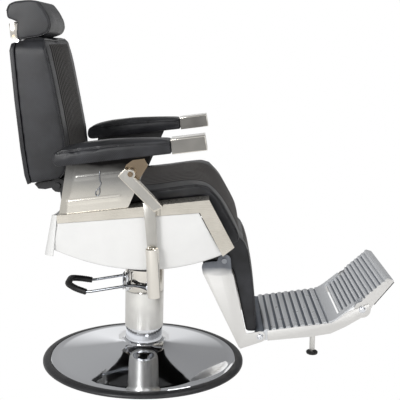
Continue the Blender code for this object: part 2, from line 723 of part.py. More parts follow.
def build_strut():
    """The recline cylinder under the seat; its rod stops short of the back's lug."""
    cross_joint("strut_rod", CYLINDER_AXIS, "swivel")
    way = Vector((0.0, cos(CYLINDER_ANGLE), sin(CYLINDER_ANGLE)))
    start = Vector((0.0, *CYLINDER_AXIS))
    body = rod("recline_cylinder", start, start + way * 0.190, 0.014, 20)
    boolean(body, hide(rod("cylinder_bore", start + way * 0.100, start + way * 0.200,
                           0.0055, 16)), "DIFFERENCE")
    finish(body, steel(), "swivel")
    finish(rod("recline_rod", start + way * 0.150, start + way * 0.381, 0.005, 16),
           chrome(), "strut_rod")


# ---------------------------------------------------------------- legrest and footrest
def build_legrest():
    cross_joint("legrest", LEG_AXIS, "swivel")

    def plate(suffix, sign):
        x0, x1 = span(sign, LEG_X, LEG_X - SHEET)
        shape = [(-0.1870, 0.3440), (-0.1835, 0.3620), (-0.1855, 0.3730),
                 (-0.1930, 0.3790), (-0.2280, 0.3830)]
        shape += circle(LEG_AXIS, 0.0200, 9, radians(0), radians(180))
        shape += [(-0.2735, 0.3500), (-0.2790, 0.3400), (-0.3220, 0.1620), (-0.3260, 0.1580)]
        shape += circle(FOOT_AXIS, 0.0170, 7, radians(90), radians(160))
        shape += [(-0.3080, 0.1100), (-0.3020, 0.1160)]
        leg = side_prism("legrest_plate_" + suffix, shape, x0, x1)
        boolean(leg, pin_cutter(LEG_AXIS, 0.0083), "DIFFERENCE")
        boolean(leg, pin_cutter(FOOT_AXIS, 0.0063), "DIFFERENCE")
        finish(leg, stainless(), "legrest")

    both_sides(plate)
    inside = LEG_X - SHEET - GAP
    web = [(-0.2330, 0.3400), (-0.3110, 0.1260), (-0.3145, 0.1250), (-0.2360, 0.3410)]
    finish(side_prism("legrest_back_panel", web, -inside, inside), stainless(), "legrest")
    top = [(-0.1890, 0.3450), (-0.1890, 0.3420), (-0.2560, 0.3455), (-0.2560, 0.3485)]
    finish(side_prism("legrest_top_plate", top, -inside, inside), chrome(), "legrest")

    pad = [(-0.3225, 0.1640), (-0.3300, 0.1600), (-0.3500, 0.1600), (-0.3550, 0.1680),
           (-0.3430, 0.2890), (-0.3340, 0.3510), (-0.3220, 0.4130), (-0.3080, 0.4400),
           (-0.2880, 0.4580), (-0.2620, 0.4670), (-0.2350, 0.4660), (-0.2080, 0.4530),
           (-0.1880, 0.4270), (-0.1800, 0.3950), (-0.1880, 0.3620), (-0.2100, 0.3520),
           (-0.2750, 0.3540), (-0.2800, 0.3420)]
    cushion = side_prism("legrest_cushion", pad, -LEG_PAD_X, LEG_PAD_X)
    bevel(cushion, 0.006, 2, 50)
    finish(cushion, leather(), "legrest")


def slope(start, end, t):
    return (start[0] + (end[0] - start[0]) * t, start[1] + (end[1] - start[1]) * t)


def ribs(start, end, count, depth):
    """Trapezoid ribs between two points of a side outline, valleys first."""
    along = Vector((end[0] - start[0], end[1] - start[1])).normalized()
    down = Vector((along.y, -along.x)) * depth
    if down.y > 0:
        down = -down
    points = []
    for i in range(count):
        for t, low in ((0.10, 1), (0.30, 0), (0.70, 0), (0.90, 1)):
            y, z = slope(start, end, (i + t) / count)
            points.append((y + down.x * low, z + down.y * low))
    return points


def build_footrest():
    cross_joint("footrest", FOOT_AXIS, "legrest")

    def rail(suffix, sign):
        x0, x1 = span(sign, LEG_X, LEG_X - SHEET)
        shape = [(-0.3880, 0.1700), (-0.3890, 0.1385), (-0.5190, 0.1550), (-0.5790, 0.1670),
                 (-0.6230, 0.1900), (-0.6690, 0.2200)]
        shape += circle(FLAP_AXIS, 0.0255, 7, radians(-60), radians(-165))[1:]
        shape += [(-0.6200, 0.2330), (-0.5980, 0.2120), (-0.5800, 0.2005), (-0.4870, 0.1865)]
        side = side_prism("foot_rail_" + suffix, shape, x0, x1)
        boolean(side, pin_cutter(FLAP_AXIS, 0.0063), "DIFFERENCE")
        finish(side, stainless(), "footrest")

    both_sides(rail)
    inside = LEG_X - SHEET - GAP
    start, bend = (-0.3740, 0.1722), (-0.5700, 0.2035)
    crest = ribs(start, bend, 9, 0.0052)
    nose = circle(FOOT_AXIS, 0.0140, 4, radians(30), radians(70))
    nose += circle(FOOT_AXIS, 0.0174, 5, radians(100), radians(-75))[::1]
    deck = [(-0.3780, 0.1640)] + nose[:4][::-1] + nose[4:][::-1] + crest + [(-0.5800, 0.2050), (-0.5980, 0.2170),
                                          (-0.6480, 0.2600), (-0.6440, 0.2530),
                                          (-0.6000, 0.2110), (-0.5800, 0.1970)]
    platform = side_prism("foot_platform", deck, -inside, inside)
    opening = box("flap_opening", (-FORK_X - 0.001, -0.700, 0.150),
                  (FORK_X + 0.001, -0.6010, 0.300))
    boolean(platform, hide(opening), "DIFFERENCE")

    def cheek(suffix, sign):
        x0, x1 = span(sign, inside - 0.0004, inside - 0.0044)
        lug = circle(FOOT_AXIS, 0.0150, 9, radians(-90), radians(180))
        lug += [(-0.3900, 0.1700), (-0.4600, 0.1800), (-0.4600, 0.1560)]
        boolean(platform, hide(side_prism("cheek_" + suffix, lug, x0, x1)), "UNION")

    both_sides(cheek)
    boolean(platform, pin_cutter(FOOT_AXIS, 0.0063), "DIFFERENCE")
    finish(platform, aluminium(), "footrest")

    finish(rod("foot_shaft", (-0.1850, *FOOT_AXIS), (0.1850, *FOOT_AXIS), 0.006, 16),
           chrome(), "footrest")
    finish(rod("flap_shaft", (-0.1850, *FLAP_AXIS), (0.1850, *FLAP_AXIS), 0.006, 16),
           chrome(), "footrest")
    post = rod("foot_post", (0.0, -0.5500, 0.0440), (0.0, -0.5480, 0.1900), 0.0088, 16)
    boolean(platform, hide(rod("post_bore", (0.0, -0.5501, 0.0380), (0.0, -0.5480, 0.1905),
                               0.0091, 16)), "DIFFERENCE")
    finish(post, stainless(), "footrest")
    pad = turned("foot_pad", [(0.0, 0.0437), (0.0150, 0.0437), (0.0185, 0.0420),
                              (0.0190, 0.0370), (0.0170, 0.0335), (0.0, 0.0325)], 24)
    pad.location = (0.0, -0.5502, 0.0)
    finish(pad, rubber(), "footrest")

    cross_joint("flap", FLAP_AXIS, "footrest")
    low, high = (-0.6060, 0.2215), (-0.7300, 0.3350)
    crest = ribs(low, high, 11, 0.0040)
    under = [(-0.7400, 0.3440), (-0.7580, 0.3390), (-0.7585, 0.3350), (-0.6930, 0.2740),
             (-0.6100, 0.2130)]
    panel = side_prism("flap_panel", crest + under, -inside + 0.0012, inside - 0.0012)

    def clear(suffix, sign):
        x0, x1 = span(sign, 0.2, FORK_X - 0.0005)
        away = [(-0.5800, 0.1500), (-0.5800, 0.3500), (-0.6100, 0.3500), (-0.6700, 0.2900),
                (-0.6690, 0.2600), (-0.6400, 0.2200), (-0.6200, 0.1500)]
        boolean(panel, hide(side_prism("fork_room_" + suffix, away, x0, x1)), "DIFFERENCE")
        x0, x1 = span(sign, inside - 0.0005, inside - 0.0035)
        wing = circle(FLAP_AXIS, 0.0240, 9, radians(-130), radians(210))
        wing += [(-0.6850, 0.2905), (-0.7390, 0.3405), (-0.7590, 0.3375), (-0.7595, 0.3345),
                 (-0.7010, 0.2570)]
        boolean(panel, hide(side_prism("wing_" + suffix, wing, x0, x1)), "UNION")

    both_sides(clear)
    boolean(panel, pin_cutter(FLAP_AXIS, 0.0063), "DIFFERENCE")
    finish(panel, aluminium(), "flap")
    strip = [(-0.7599, 0.3320), (-0.7625, 0.3300), (-0.7075, 0.2580), (-0.7045, 0.2605)]
    finish(side_prism("flap_rubber", strip, -0.172, 0.172), rubber(), "flap")


build_base()
build_column()
build_pump()
build_chassis()
build_seat()
build_skirts()
build_rails()
build_arms()
build_lever()
build_back()
build_headrest()
build_strut()
build_legrest()
build_footrest()

for piece in chair.objects:
    if piece.type == "MESH":
        piece.data.shade_smooth()
        piece.data.set_sharp_from_angle(angle=radians(35))
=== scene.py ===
"""Hydraulic barber chair: visible surfaces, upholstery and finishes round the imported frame.

Metres, +Z up.  The chair faces -Y, the sitter's right is -X, and the column stands on
the Z axis.  Side outlines are (y, z) points.
"""
from math import cos, pi, radians, sin, sqrt

import bpy
import numpy as np
from mathutils import Matrix, Vector
from mathutils.bvhtree import BVHTree


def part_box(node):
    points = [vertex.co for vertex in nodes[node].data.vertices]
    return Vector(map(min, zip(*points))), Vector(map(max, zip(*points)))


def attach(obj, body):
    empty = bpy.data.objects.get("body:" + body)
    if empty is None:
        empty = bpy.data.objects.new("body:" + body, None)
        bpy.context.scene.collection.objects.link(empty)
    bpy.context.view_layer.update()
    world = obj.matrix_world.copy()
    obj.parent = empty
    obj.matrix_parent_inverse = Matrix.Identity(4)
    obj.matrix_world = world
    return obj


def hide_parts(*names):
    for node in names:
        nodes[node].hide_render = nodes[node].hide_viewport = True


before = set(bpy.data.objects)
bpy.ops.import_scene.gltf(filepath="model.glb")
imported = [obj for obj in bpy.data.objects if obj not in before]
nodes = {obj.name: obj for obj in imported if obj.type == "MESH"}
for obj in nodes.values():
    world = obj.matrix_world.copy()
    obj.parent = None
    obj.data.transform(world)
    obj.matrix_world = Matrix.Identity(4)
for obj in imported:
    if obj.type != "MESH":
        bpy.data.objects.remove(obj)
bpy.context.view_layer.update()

MM = 0.001

# Distances and axes shared by several pieces, read from the frame.
RAIL_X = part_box("rear_rail_left")[1].x
SEAT_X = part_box("seat_cushion")[1].x
BACK_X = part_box("back_cushion")[1].x
HEAD_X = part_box("headrest_pad")[1].x
ARM_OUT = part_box("arm_pad_left")[1].x
ARM_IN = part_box("arm_pad_left")[0].x
PLATE_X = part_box("arm_plate_left")[1].x
LEG_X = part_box("legrest_plate_left")[1].x
LEG_PAD_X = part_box("legrest_cushion")[1].x
BASE_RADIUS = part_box("base_ring")[1].x
COLUMN_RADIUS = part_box("column_sleeve")[1].x
SLEEVE_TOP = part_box("column_sleeve")[1].z
HEAD_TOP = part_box("pump_head")[1].z

# Pivots seen from the side, (y, z).
PUMP_AXIS = (-0.018, 0.262)
LEVER_AXIS = (0.016, 0.668)
FOOT_AXIS = (-0.366, 0.150)
FLAP_AXIS = (-0.670, 0.245)

SIDES = ((-1, "right"), (1, "left"))
LEG_WALL = 3.0 * MM
LEG_INSIDE = LEG_X - LEG_WALL - 0.3 * MM


# ---------------------------------------------------------------- finishes
def tint(code):
    """An sRGB hex colour as linear values."""
    parts = [int(code[i:i + 2], 16) / 255 for i in (1, 3, 5)]
    return (*(c / 12.92 if c <= 0.04045 else ((c + 0.055) / 1.055) ** 2.4 for c in parts), 1.0)


def feed(tree, node, **inputs):
    """Sets or links a node's sockets: by name, with _ for a space, or by number as in0."""
    for label, value in inputs.items():
        key = int(label[2:]) if label.startswith("in") else label.replace("_", " ")
        if isinstance(value, bpy.types.NodeSocket):
            tree.links.new(value, node.inputs[key])
        else:
            node.inputs[key].default_value = tint(value) if isinstance(value, str) else value
    return node


def add_node(tree, kind, settings=None, **inputs):
    """A node with its settings, and its sockets set or linked."""
    node = tree.nodes.new(kind)
    for key, value in (settings or {}).items():
        setattr(node, key, value)
    return feed(tree, node, **inputs)


def blank(name, colour, **inputs):
    """A material with one Principled shader, its tree and the object's own coordinates."""
    mat = bpy.data.materials.new(name)
    mat.use_nodes = True
    mat.diffuse_color = tint(colour)
    tree = mat.node_tree
    shader = feed(tree, tree.nodes["Principled BSDF"], Base_Color=colour, **inputs)
    place = add_node(tree, "ShaderNodeTexCoord").outputs["Object"]
    return mat, tree, shader, place


def vary(tree, shader, gloss=None, colours=None, relief=None):
    """Lets patterns drive a finish.

    gloss is a pattern with its least and greatest roughness, colours a pattern with the
    colours at its two ends, and relief a height with its strength and depth."""
    span = {"From_Min": 0.3, "From_Max": 0.7}
    if gloss:
        level = add_node(tree, "ShaderNodeMapRange", Value=gloss[0], To_Min=gloss[1],
                         To_Max=gloss[2], **span)
        feed(tree, shader, Roughness=level.outputs["Result"])
    if colours:
        share = add_node(tree, "ShaderNodeMapRange", Value=colours[0], **span)
        mix = add_node(tree, "ShaderNodeMix", {"data_type": "RGBA"},
                       Factor=share.outputs["Result"], A=colours[1], B=colours[2])
        feed(tree, shader, Base_Color=mix.outputs["Result"])
    if relief:
        bump = add_node(tree, "ShaderNodeBump", Height=relief[0], Strength=relief[1],
                        Distance=relief[2])
        feed(tree, shader, Normal=bump.outputs["Normal"])


def leathercloth(name, light, dark, gloss, flute=0.0):
    """PVC leathercloth, calendered: a fine twill of slanting grains over soft pebbling.

    The real grain is about 2 mm; it is drawn at 3.6 mm so that it shows.  With a flute width,
    painted shade darkens the bottoms of the flutes and painted light brightens their crests."""
    mat, tree, shader, place = blank(name, dark, Roughness=gloss, IOR=1.42)
    grain = 3.6 * MM
    twill = []
    for lean in (1, -1):
        leaning = add_node(tree, "ShaderNodeMapping", Vector=place, Scale=(1, lean, 1))
        wave = add_node(tree, "ShaderNodeTexWave", {"bands_direction": "DIAGONAL"},
                        Vector=leaning.outputs["Vector"], Scale=2 * pi / (10 * sqrt(2) * grain),
                        Distortion=0.5, Detail=1.0, Detail_Scale=2.0)
        twill.append(wave.outputs["Fac"])
    grains = add_node(tree, "ShaderNodeMath", {"operation": "MULTIPLY"}, in0=twill[0],
                      in1=twill[1]).outputs[0]
    pebbles = add_node(tree, "ShaderNodeTexNoise", Vector=place, Scale=1 / (2.2 * MM),
                       Detail=2.0).outputs["Fac"]
    height = add_node(tree, "ShaderNodeMath", {"operation": "MULTIPLY_ADD"}, in0=pebbles,
                      in1=0.35, in2=grains).outputs[0]
    cloud = add_node(tree, "ShaderNodeTexNoise", Vector=place, Scale=1 / (60 * MM),
                     Detail=4.0).outputs["Fac"]
    drift = add_node(tree, "ShaderNodeMapRange", Value=cloud, From_Min=0.3, From_Max=0.7,
                     To_Max=0.45).outputs["Result"]
    patch = add_node(tree, "ShaderNodeMath", {"operation": "MULTIPLY_ADD"}, in0=grains,
                     in1=0.55, in2=drift).outputs[0]
    # Painted shade and light: a cosine across the panel sets the flute bottoms near the dark
    # colour and the crests near the light one.
    if flute:
        across = add_node(tree, "ShaderNodeSeparateXYZ", Vector=place).outputs["X"]
        turn = add_node(tree, "ShaderNodeMath", {"operation": "MULTIPLY_ADD"}, in0=across,
                        in1=2 * pi / flute, in2=pi).outputs[0]
        crest = add_node(tree, "ShaderNodeMath", {"operation": "COSINE"}, in0=turn).outputs[0]
        crest = add_node(tree, "ShaderNodeMapRange", Value=crest, From_Min=-0.35,
                         From_Max=0.80, To_Min=1.0, To_Max=0.0).outputs["Result"]
        faint = add_node(tree, "ShaderNodeMath", {"operation": "MULTIPLY"}, in0=patch,
                         in1=0.35).outputs[0]
        patch = add_node(tree, "ShaderNodeMath", {"operation": "MULTIPLY_ADD"}, in0=crest,
                         in1=0.65, in2=faint).outputs[0]
    mix = add_node(tree, "ShaderNodeMix", {"data_type": "RGBA"}, Factor=patch, A=dark, B=light)
    feed(tree, shader, Base_Color=mix.outputs["Result"])
    vary(tree, shader, gloss=(cloud, gloss - 0.05, gloss + 0.07),
         relief=(height, 0.25 if flute else 0.6, 0.30 * MM))
    return mat


def polished_chrome(name, colour, low, high):
    """Nickel-chrome plate: a mirror with faint waves left by the polishing wheel."""
    mat, tree, shader, place = blank(name, colour, Metallic=1.0, Roughness=low)
    smear = add_node(tree, "ShaderNodeTexNoise", Vector=place, Scale=1 / (35 * MM),
                     Detail=4.0).outputs["Fac"]
    waves = add_node(tree, "ShaderNodeTexNoise", Vector=place, Scale=1 / (70 * MM),
                     Detail=1.0).outputs["Fac"]
    vary(tree, shader, gloss=(smear, low, high), relief=(waves, 0.05, 1.0 * MM))
    return mat


def brushed(name, colour, shade, low, high, along):
    """Stainless sheet with a belt-ground finish: hair lines along one axis."""
    mat, tree, shader, place = blank(name, colour, Metallic=1.0, Roughness=low)
    drawn_out = add_node(tree, "ShaderNodeMapping", Vector=place,
                         Scale=[1 / ((90 if axis == along else 0.9) * MM) for axis in "xyz"])
    lines = add_node(tree, "ShaderNodeTexNoise", Vector=drawn_out.outputs["Vector"], Scale=1.0,
                     Detail=3.0, Roughness=0.6).outputs["Fac"]
    broad = add_node(tree, "ShaderNodeTexNoise", Vector=place, Scale=1 / (80 * MM),
                     Detail=2.0).outputs["Fac"]
    vary(tree, shader, (lines, low, high), (broad, colour, shade), (lines, 0.12, 0.05 * MM))
    return mat


def painted_reflection_sheet(name, top, middle, low, top_z, low_z, rough=0.14):
    """Polished stainless sheet with a painted reflection: three tones painted into its colour,
    one above the other, stand for the room it would mirror.
    """
    mat, tree, shader, place = blank(name, middle, Metallic=1.0, Roughness=0.18)
    level = add_node(tree, "ShaderNodeSeparateXYZ", Vector=place).outputs["Z"]
    flattened = add_node(tree, "ShaderNodeMapping", Vector=place, Scale=(1, 1, 2.5))
    broad = add_node(tree, "ShaderNodeTexNoise", Vector=flattened.outputs["Vector"],
                     Scale=1 / (70 * MM), Detail=2.0).outputs["Fac"]
    swing = add_node(tree, "ShaderNodeMath", {"operation": "MULTIPLY_ADD"}, in0=broad,
                     in1=0.030, in2=level).outputs[0]
    middle_z = (low_z + top_z) / 2
    tone = low
    # Painted reflection: the colour runs from the low tone to the middle and top ones as height
    # rises.
    for z_from, z_to, above in ((low_z, middle_z, middle), (middle_z, top_z, top)):
        share = add_node(tree, "ShaderNodeMapRange", Value=swing, From_Min=z_from,
                         From_Max=z_to).outputs["Result"]
        mix = add_node(tree, "ShaderNodeMix", {"data_type": "RGBA"}, Factor=share, A=tone,
                       B=above)
        tone = mix.outputs["Result"]
    feed(tree, shader, Base_Color=tone)
    vary(tree, shader, gloss=(broad, rough, rough + 0.10))
    return mat


def cast_metal(name, colour, shade, low, high):
    """Gravity-cast aluminium, tumbled: a fine grain with duller, dustier pores."""
    mat, tree, shader, place = blank(name, colour, Metallic=0.55, Roughness=low)
    grain = add_node(tree, "ShaderNodeTexNoise", Vector=place, Scale=1 / (1.6 * MM),
                     Detail=4.0, Roughness=0.6).outputs["Fac"]
    broad = add_node(tree, "ShaderNodeTexNoise", Vector=place, Scale=1 / (30 * MM),
                     Detail=3.0).outputs["Fac"]
    vary(tree, shader, (broad, low, high), (grain, colour, shade), (grain, 0.02, 0.03 * MM))
    return mat


def moulded(name, colour, shade, rough, grain_mm, strength, coat=0.0):
    """A moulded or painted skin: a tone that drifts a little over a fine texture."""
    mat, tree, shader, place = blank(name, colour, Roughness=rough, Coat_Weight=coat,
                                     Coat_Roughness=0.05)
    fine = add_node(tree, "ShaderNodeTexNoise", Vector=place, Scale=1 / (grain_mm * MM),
                    Detail=3.0).outputs["Fac"]
    broad = add_node(tree, "ShaderNodeTexNoise", Vector=place, Scale=1 / (55 * MM),
                     Detail=3.0).outputs["Fac"]
    vary(tree, shader, (broad, rough * 0.9, rough * 1.15), (broad, colour, shade),
         (fine, strength, 0.15 * MM))
    return mat


def birch_plywood():
    """Birch plywood stained nearly black, its veneers just showing as long grain."""
    mat, tree, shader, place = blank("stained_birch_plywood", "#3a2d20", Roughness=0.7)
    drawn_out = add_node(tree, "ShaderNodeMapping", Vector=place,
                         Scale=(1 / (40 * MM), 1 / (400 * MM), 1 / (1.4 * MM)))
    grain = add_node(tree, "ShaderNodeTexNoise", Vector=drawn_out.outputs["Vector"], Scale=1.0,
                     Detail=4.0).outputs["Fac"]
    vary(tree, shader, colours=(grain, "#46372a", "#241b13"), relief=(grain, 0.2, 0.2 * MM))
    return mat


# Half the width of each fluted panel, and how many flutes it has.
SEAT_PANEL = (0.182, 15)
BACK_PANEL = (0.150, 13)
LEG_PANEL = (0.108, 9)

SEAT_FLUTE, BACK_FLUTE, LEG_FLUTE = (2 * half / count for half, count in
                                     (SEAT_PANEL, BACK_PANEL, LEG_PANEL))
VINYL = leathercloth("pvc_leathercloth", "#3a3b40", "#060607", 0.36)
# The fluted panels carry painted shade in the flute bottoms and painted light on the crests.
VINYL_SEAT = leathercloth("pvc_leathercloth_seat_flutes", "#524e4c", "#040404", 0.42, SEAT_FLUTE)
VINYL_BACK = leathercloth("pvc_leathercloth_back_flutes", "#454240", "#040404", 0.42, BACK_FLUTE)
VINYL_LEG = leathercloth("pvc_leathercloth_leg_flutes", "#454240", "#040404", 0.42, LEG_FLUTE)
VINYL_PIPING = leathercloth("pvc_piping", "#3a3a3e", "#161617", 0.28)
CHROME = polished_chrome("chrome_plate", "#e8eaee", 0.03, 0.07)
BRIGHT = polished_chrome("bright_stainless", "#e6e2da", 0.10, 0.16)
SHEET = brushed("belt_ground_stainless", "#dad5cb", "#c9c4ba", 0.20, 0.34, "y")
# Legrest, footrest and flap sheet: painted reflection, grey at the top of the legrest plates and
# near white lower down.
LEG_SHEET_PAINTED_REFLECTION = painted_reflection_sheet("satin_stainless_leg", "#6f7278", "#dddcda", "#e0dfdd", 0.376, 0.322,
                         0.32)
TUBE_STEEL = brushed("ground_tube_steel", "#f2f1ed", "#deddda", 0.26, 0.40, "z")
RIB_CREST = cast_metal("polished_cast_aluminium", "#dfe1e4", "#ced1d5", 0.26, 0.38)
# Rib valleys: the darker colour is partly the rough as-cast skin and partly painted shade between
# the ribs.
RIB_VALLEY_AS_CAST_AND_SHADE = cast_metal("cast_aluminium_as_cast", "#7c828c", "#666d78", 0.40, 0.52)
# Arm plates: painted reflection, near black at the top where the plate would mirror the black pad
# above, pale lower down by the rail.
ARM_SHEET_PAINTED_REFLECTION = painted_reflection_sheet("mirror_stainless_arm", "#1b1a1a", "#a5a4a1", "#d9d5cc", 0.706, 0.600)
LEVER_WEB = brushed("ground_steel_web", "#b9b7b2", "#a9a7a2", 0.26, 0.38, "z")
CAP_FACE = brushed("satin_cap_face", "#8d8b87", "#787673", 0.30, 0.42, "y")
WIRE = polished_chrome("drawn_wire_chrome", "#8d9095", 0.10, 0.16)
# Painted reflection: the brownish tint in this chrome's colour stands for a warm tone that the
# bracket mirrors.
BROWN_REFLECTION_CHROME = polished_chrome("chrome_painted_brown_reflection", "#9c8b76", 0.10, 0.18)
PAINTED = moulded("painted_steel", "#1b1b1d", "#111113", 0.42, 1.2, 0.10)
# Painted light: a pale diffuse finish keeps the legrest shelf light, though it sits in shade
# under the seat frame.
PALE_SHEET_PAINTED_LIGHT = moulded("pale_sheet_painted_light", "#d8dade", "#c4c7cc", 0.34, 2.0, 0.05)
WHITE_ABS = moulded("white_gloss_abs", "#e2e2e1", "#dededd", 0.16, 6.0, 0.02, 0.6)
SOFT_RUBBER = moulded("soft_black_rubber", "#121213", "#0b0b0c", 0.46, 0.9, 0.25)
RUBBER = moulded("black_rubber", "#303032", "#222225", 0.38, 0.9, 0.25)
PLYWOOD = birch_plywood()


# ---------------------------------------------------------------- workshop
def deselect():
    """Back to object mode, with nothing selected."""
    if bpy.context.mode != "OBJECT":
        bpy.ops.object.mode_set(mode="OBJECT")
    bpy.ops.object.select_all(action="DESELECT")


def pick(obj):
    """Selects one object alone and makes it the active one."""
    deselect()
    obj.select_set(True)
    bpy.context.view_layer.objects.active = obj
    return obj


def named(name):
    """Names the object that an operator has just added."""
    obj = bpy.context.object
    obj.name = name
    obj.data.name = name
    return obj


def settle(obj):
    """Puts the object at the origin, unturned, with its place in its mesh."""
    pick(obj)
    bpy.ops.object.transform_apply(location=True, rotation=True, scale=True)
    return obj


def finish_modifiers(obj):
    """Applies all of an object's modifiers in turn."""
    pick(obj)
    for mod in list(obj.modifiers):
        bpy.ops.object.modifier_apply(modifier=mod.name)
    return obj


def face_out(obj):
    """Turns every face outwards."""
    pick(obj)
    bpy.ops.object.mode_set(mode="EDIT")
    bpy.ops.mesh.select_all(action="SELECT")
    bpy.ops.mesh.normals_make_consistent(inside=False)
    bpy.ops.object.mode_set(mode="OBJECT")
    return obj


def smooth(obj, angle=35):
    """Shades smooth, except across edges sharper than an angle in degrees."""
    pick(obj)
    bpy.ops.object.shade_smooth_by_angle(angle=radians(angle))
    return obj


def round_edges(obj, width, segments=2, angle=30):
    """Eases the edges sharper than an angle in degrees."""
    mod = obj.modifiers.new("round_edges", "BEVEL")
    mod.width = width
    mod.segments = segments
    mod.limit_method = "ANGLE"
    mod.angle_limit = radians(angle)
    return finish_modifiers(obj)


def cut(obj, tool, operation="DIFFERENCE"):
    """Cuts, or joins, a shape with another, which is used up."""
    mod = obj.modifiers.new("cut", "BOOLEAN")
    mod.operation = operation
    mod.object = tool
    mod.solver = "EXACT"
    finish_modifiers(obj)
    bpy.data.objects.remove(tool, do_unlink=True)
    return obj


def draw(name, points, closed=True):
    """Draws a line of edges by extruding one corner from point to point."""
    deselect()
    bpy.ops.mesh.primitive_plane_add(size=0.001, location=points[0])
    obj = named(name)
    bpy.ops.object.transform_apply(location=True, rotation=False, scale=False)
    bpy.ops.object.mode_set(mode="EDIT")
    bpy.ops.mesh.select_mode(type="VERT")
    bpy.ops.mesh.merge(type="CENTER")
    route = list(points) + ([points[0]] if closed else [])
    for here, there in zip(route, route[1:]):
        step = Vector(there) - Vector(here)
        bpy.ops.mesh.extrude_region_move(TRANSFORM_OT_translate={"value": step})
    bpy.ops.mesh.select_all(action="SELECT")
    if closed:
        bpy.ops.mesh.remove_doubles(threshold=1e-6)
        bpy.ops.mesh.select_all(action="SELECT")
        bpy.ops.mesh.edge_face_add()
    return obj


def slab(name, outline, x_from, x_to, rounding=0.0, segments=2, angle=30):
    """A side outline given a thickness across the chair."""
    obj = draw(name, [(x_from, y, z) for y, z in outline])
    bpy.ops.mesh.select_all(action="SELECT")
    bpy.ops.mesh.extrude_region_move(TRANSFORM_OT_translate={"value": (x_to - x_from, 0, 0)})
    face_out(obj)
    if rounding:
        round_edges(obj, rounding, segments, angle)
    return smooth(obj)


def turned(name, profile, steps=96, closed=False):
    """A (radius, height) profile spun round the Z axis."""
    obj = draw(name, [(r, 0.0, z) for r, z in profile], closed=False)
    if closed:
        pick(obj)
        bpy.ops.object.mode_set(mode="EDIT")
        bpy.ops.mesh.select_all(action="DESELECT")
        bpy.ops.object.mode_set(mode="OBJECT")
        for end in (0, len(profile) - 1):
            obj.data.vertices[end].select = True
        bpy.ops.object.mode_set(mode="EDIT")
        bpy.ops.mesh.edge_face_add()
        bpy.ops.mesh.select_all(action="SELECT")
    bpy.ops.mesh.spin(steps=steps, angle=2 * pi, center=(0, 0, 0), axis=(0, 0, 1))
    bpy.ops.mesh.select_all(action="SELECT")
    bpy.ops.mesh.remove_doubles(threshold=1e-6)
    face_out(obj)
    return smooth(obj)


def aim(obj, place, direction):
    """Stands a piece made on the Z axis at a place, pointing along a direction."""
    turn = Vector(direction).to_track_quat("Z", "Y").to_matrix().to_4x4()
    obj.matrix_world = Matrix.Translation(place) @ turn
    return settle(obj)


def rod(name, start, end, radius, steps=32, rounding=0.0):
    """A round bar with eased ends."""
    length = (Vector(end) - Vector(start)).length
    ease = rounding or radius * 0.12
    profile = [(0.0, length), (radius - ease, length), (radius - ease * 0.3, length - ease * 0.3),
               (radius, length - ease), (radius, ease), (radius - ease * 0.3, ease * 0.3),
               (radius - ease, 0.0), (0.0, 0.0)]
    return aim(turned(name, profile, steps), start, Vector(end) - Vector(start))


def tube(name, points, radius, fineness=4):
    """A round wire or welt along points, as a mesh."""
    deselect()
    bpy.ops.curve.primitive_bezier_curve_add()
    obj = named(name)
    curve = obj.data
    curve.splines.clear()
    line = curve.splines.new("POLY")
    line.points.add(len(points) - 1)
    for point, place in zip(line.points, points):
        point.co = (*place, 1.0)
    curve.dimensions = "3D"
    curve.bevel_depth = radius
    curve.bevel_resolution = fineness
    curve.use_fill_caps = True
    bpy.ops.object.convert(target="MESH")
    obj = named(name)
    obj.data.validate()
    pick(obj)
    bpy.ops.object.mode_set(mode="EDIT")
    bpy.ops.mesh.select_all(action="SELECT")
    bpy.ops.mesh.remove_doubles(threshold=1e-5)
    return smooth(face_out(settle(obj)), 60)


def panel(name, columns, rows, place, thickness):
    """A sheet whose points place(u, v) sets, given a wall and eased edges."""
    deselect()
    bpy.ops.mesh.primitive_grid_add(x_subdivisions=columns, y_subdivisions=rows, size=1.0)
    obj = named(name)
    for vert in obj.data.vertices:
        vert.co = Vector(place(vert.co.x + 0.5, vert.co.y + 0.5))
    mod = obj.modifiers.new("wall", "SOLIDIFY")
    mod.thickness = thickness
    mod.offset = 0.0
    finish_modifiers(obj)
    return obj


def twin(obj, name):
    """The same piece on the other side of the chair."""
    pick(obj)
    bpy.ops.object.duplicate()
    copy = named(name)
    copy.scale = (-1.0, 1.0, 1.0)
    bpy.ops.object.transform_apply(location=False, rotation=False, scale=True)
    bpy.ops.object.mode_set(mode="EDIT")
    bpy.ops.mesh.select_all(action="SELECT")
    bpy.ops.mesh.flip_normals()
    bpy.ops.object.mode_set(mode="OBJECT")
    return copy


def dress(obj, finish, body, slot, *replaced):
    """Gives a piece its finish, the body it rides on and the solids it stands for."""
    obj.data.materials.clear()
    obj.data.materials.append(finish)
    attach(obj, body)
    if replaced:
        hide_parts(*replaced)
    return obj


def finish_faces(obj, finish, test):
    """A second finish on the faces that pass a test."""
    obj.data.materials.append(finish)
    index = len(obj.data.materials) - 1
    for face in obj.data.polygons:
        if test(face):
            face.material_index = index


def pair_of(obj, finish, body, slot, *replaced):
    """A right-hand piece (named ..._right) and its left-hand twin."""
    other = twin(obj, obj.name.replace("_right", "_left"))
    dress(obj, finish, body, slot, *replaced)
    dress(other, finish, body, slot, *[n.replace("_right", "_left") for n in replaced])
    return obj, other


def arc(centre, radius, start, sweep, count=9):
    """Points on an arc, angles in degrees from +Y towards +Z."""
    return [(centre[0] + radius * cos(radians(start + sweep * i / (count - 1))),
             centre[1] + radius * sin(radians(start + sweep * i / (count - 1))))
            for i in range(count)]


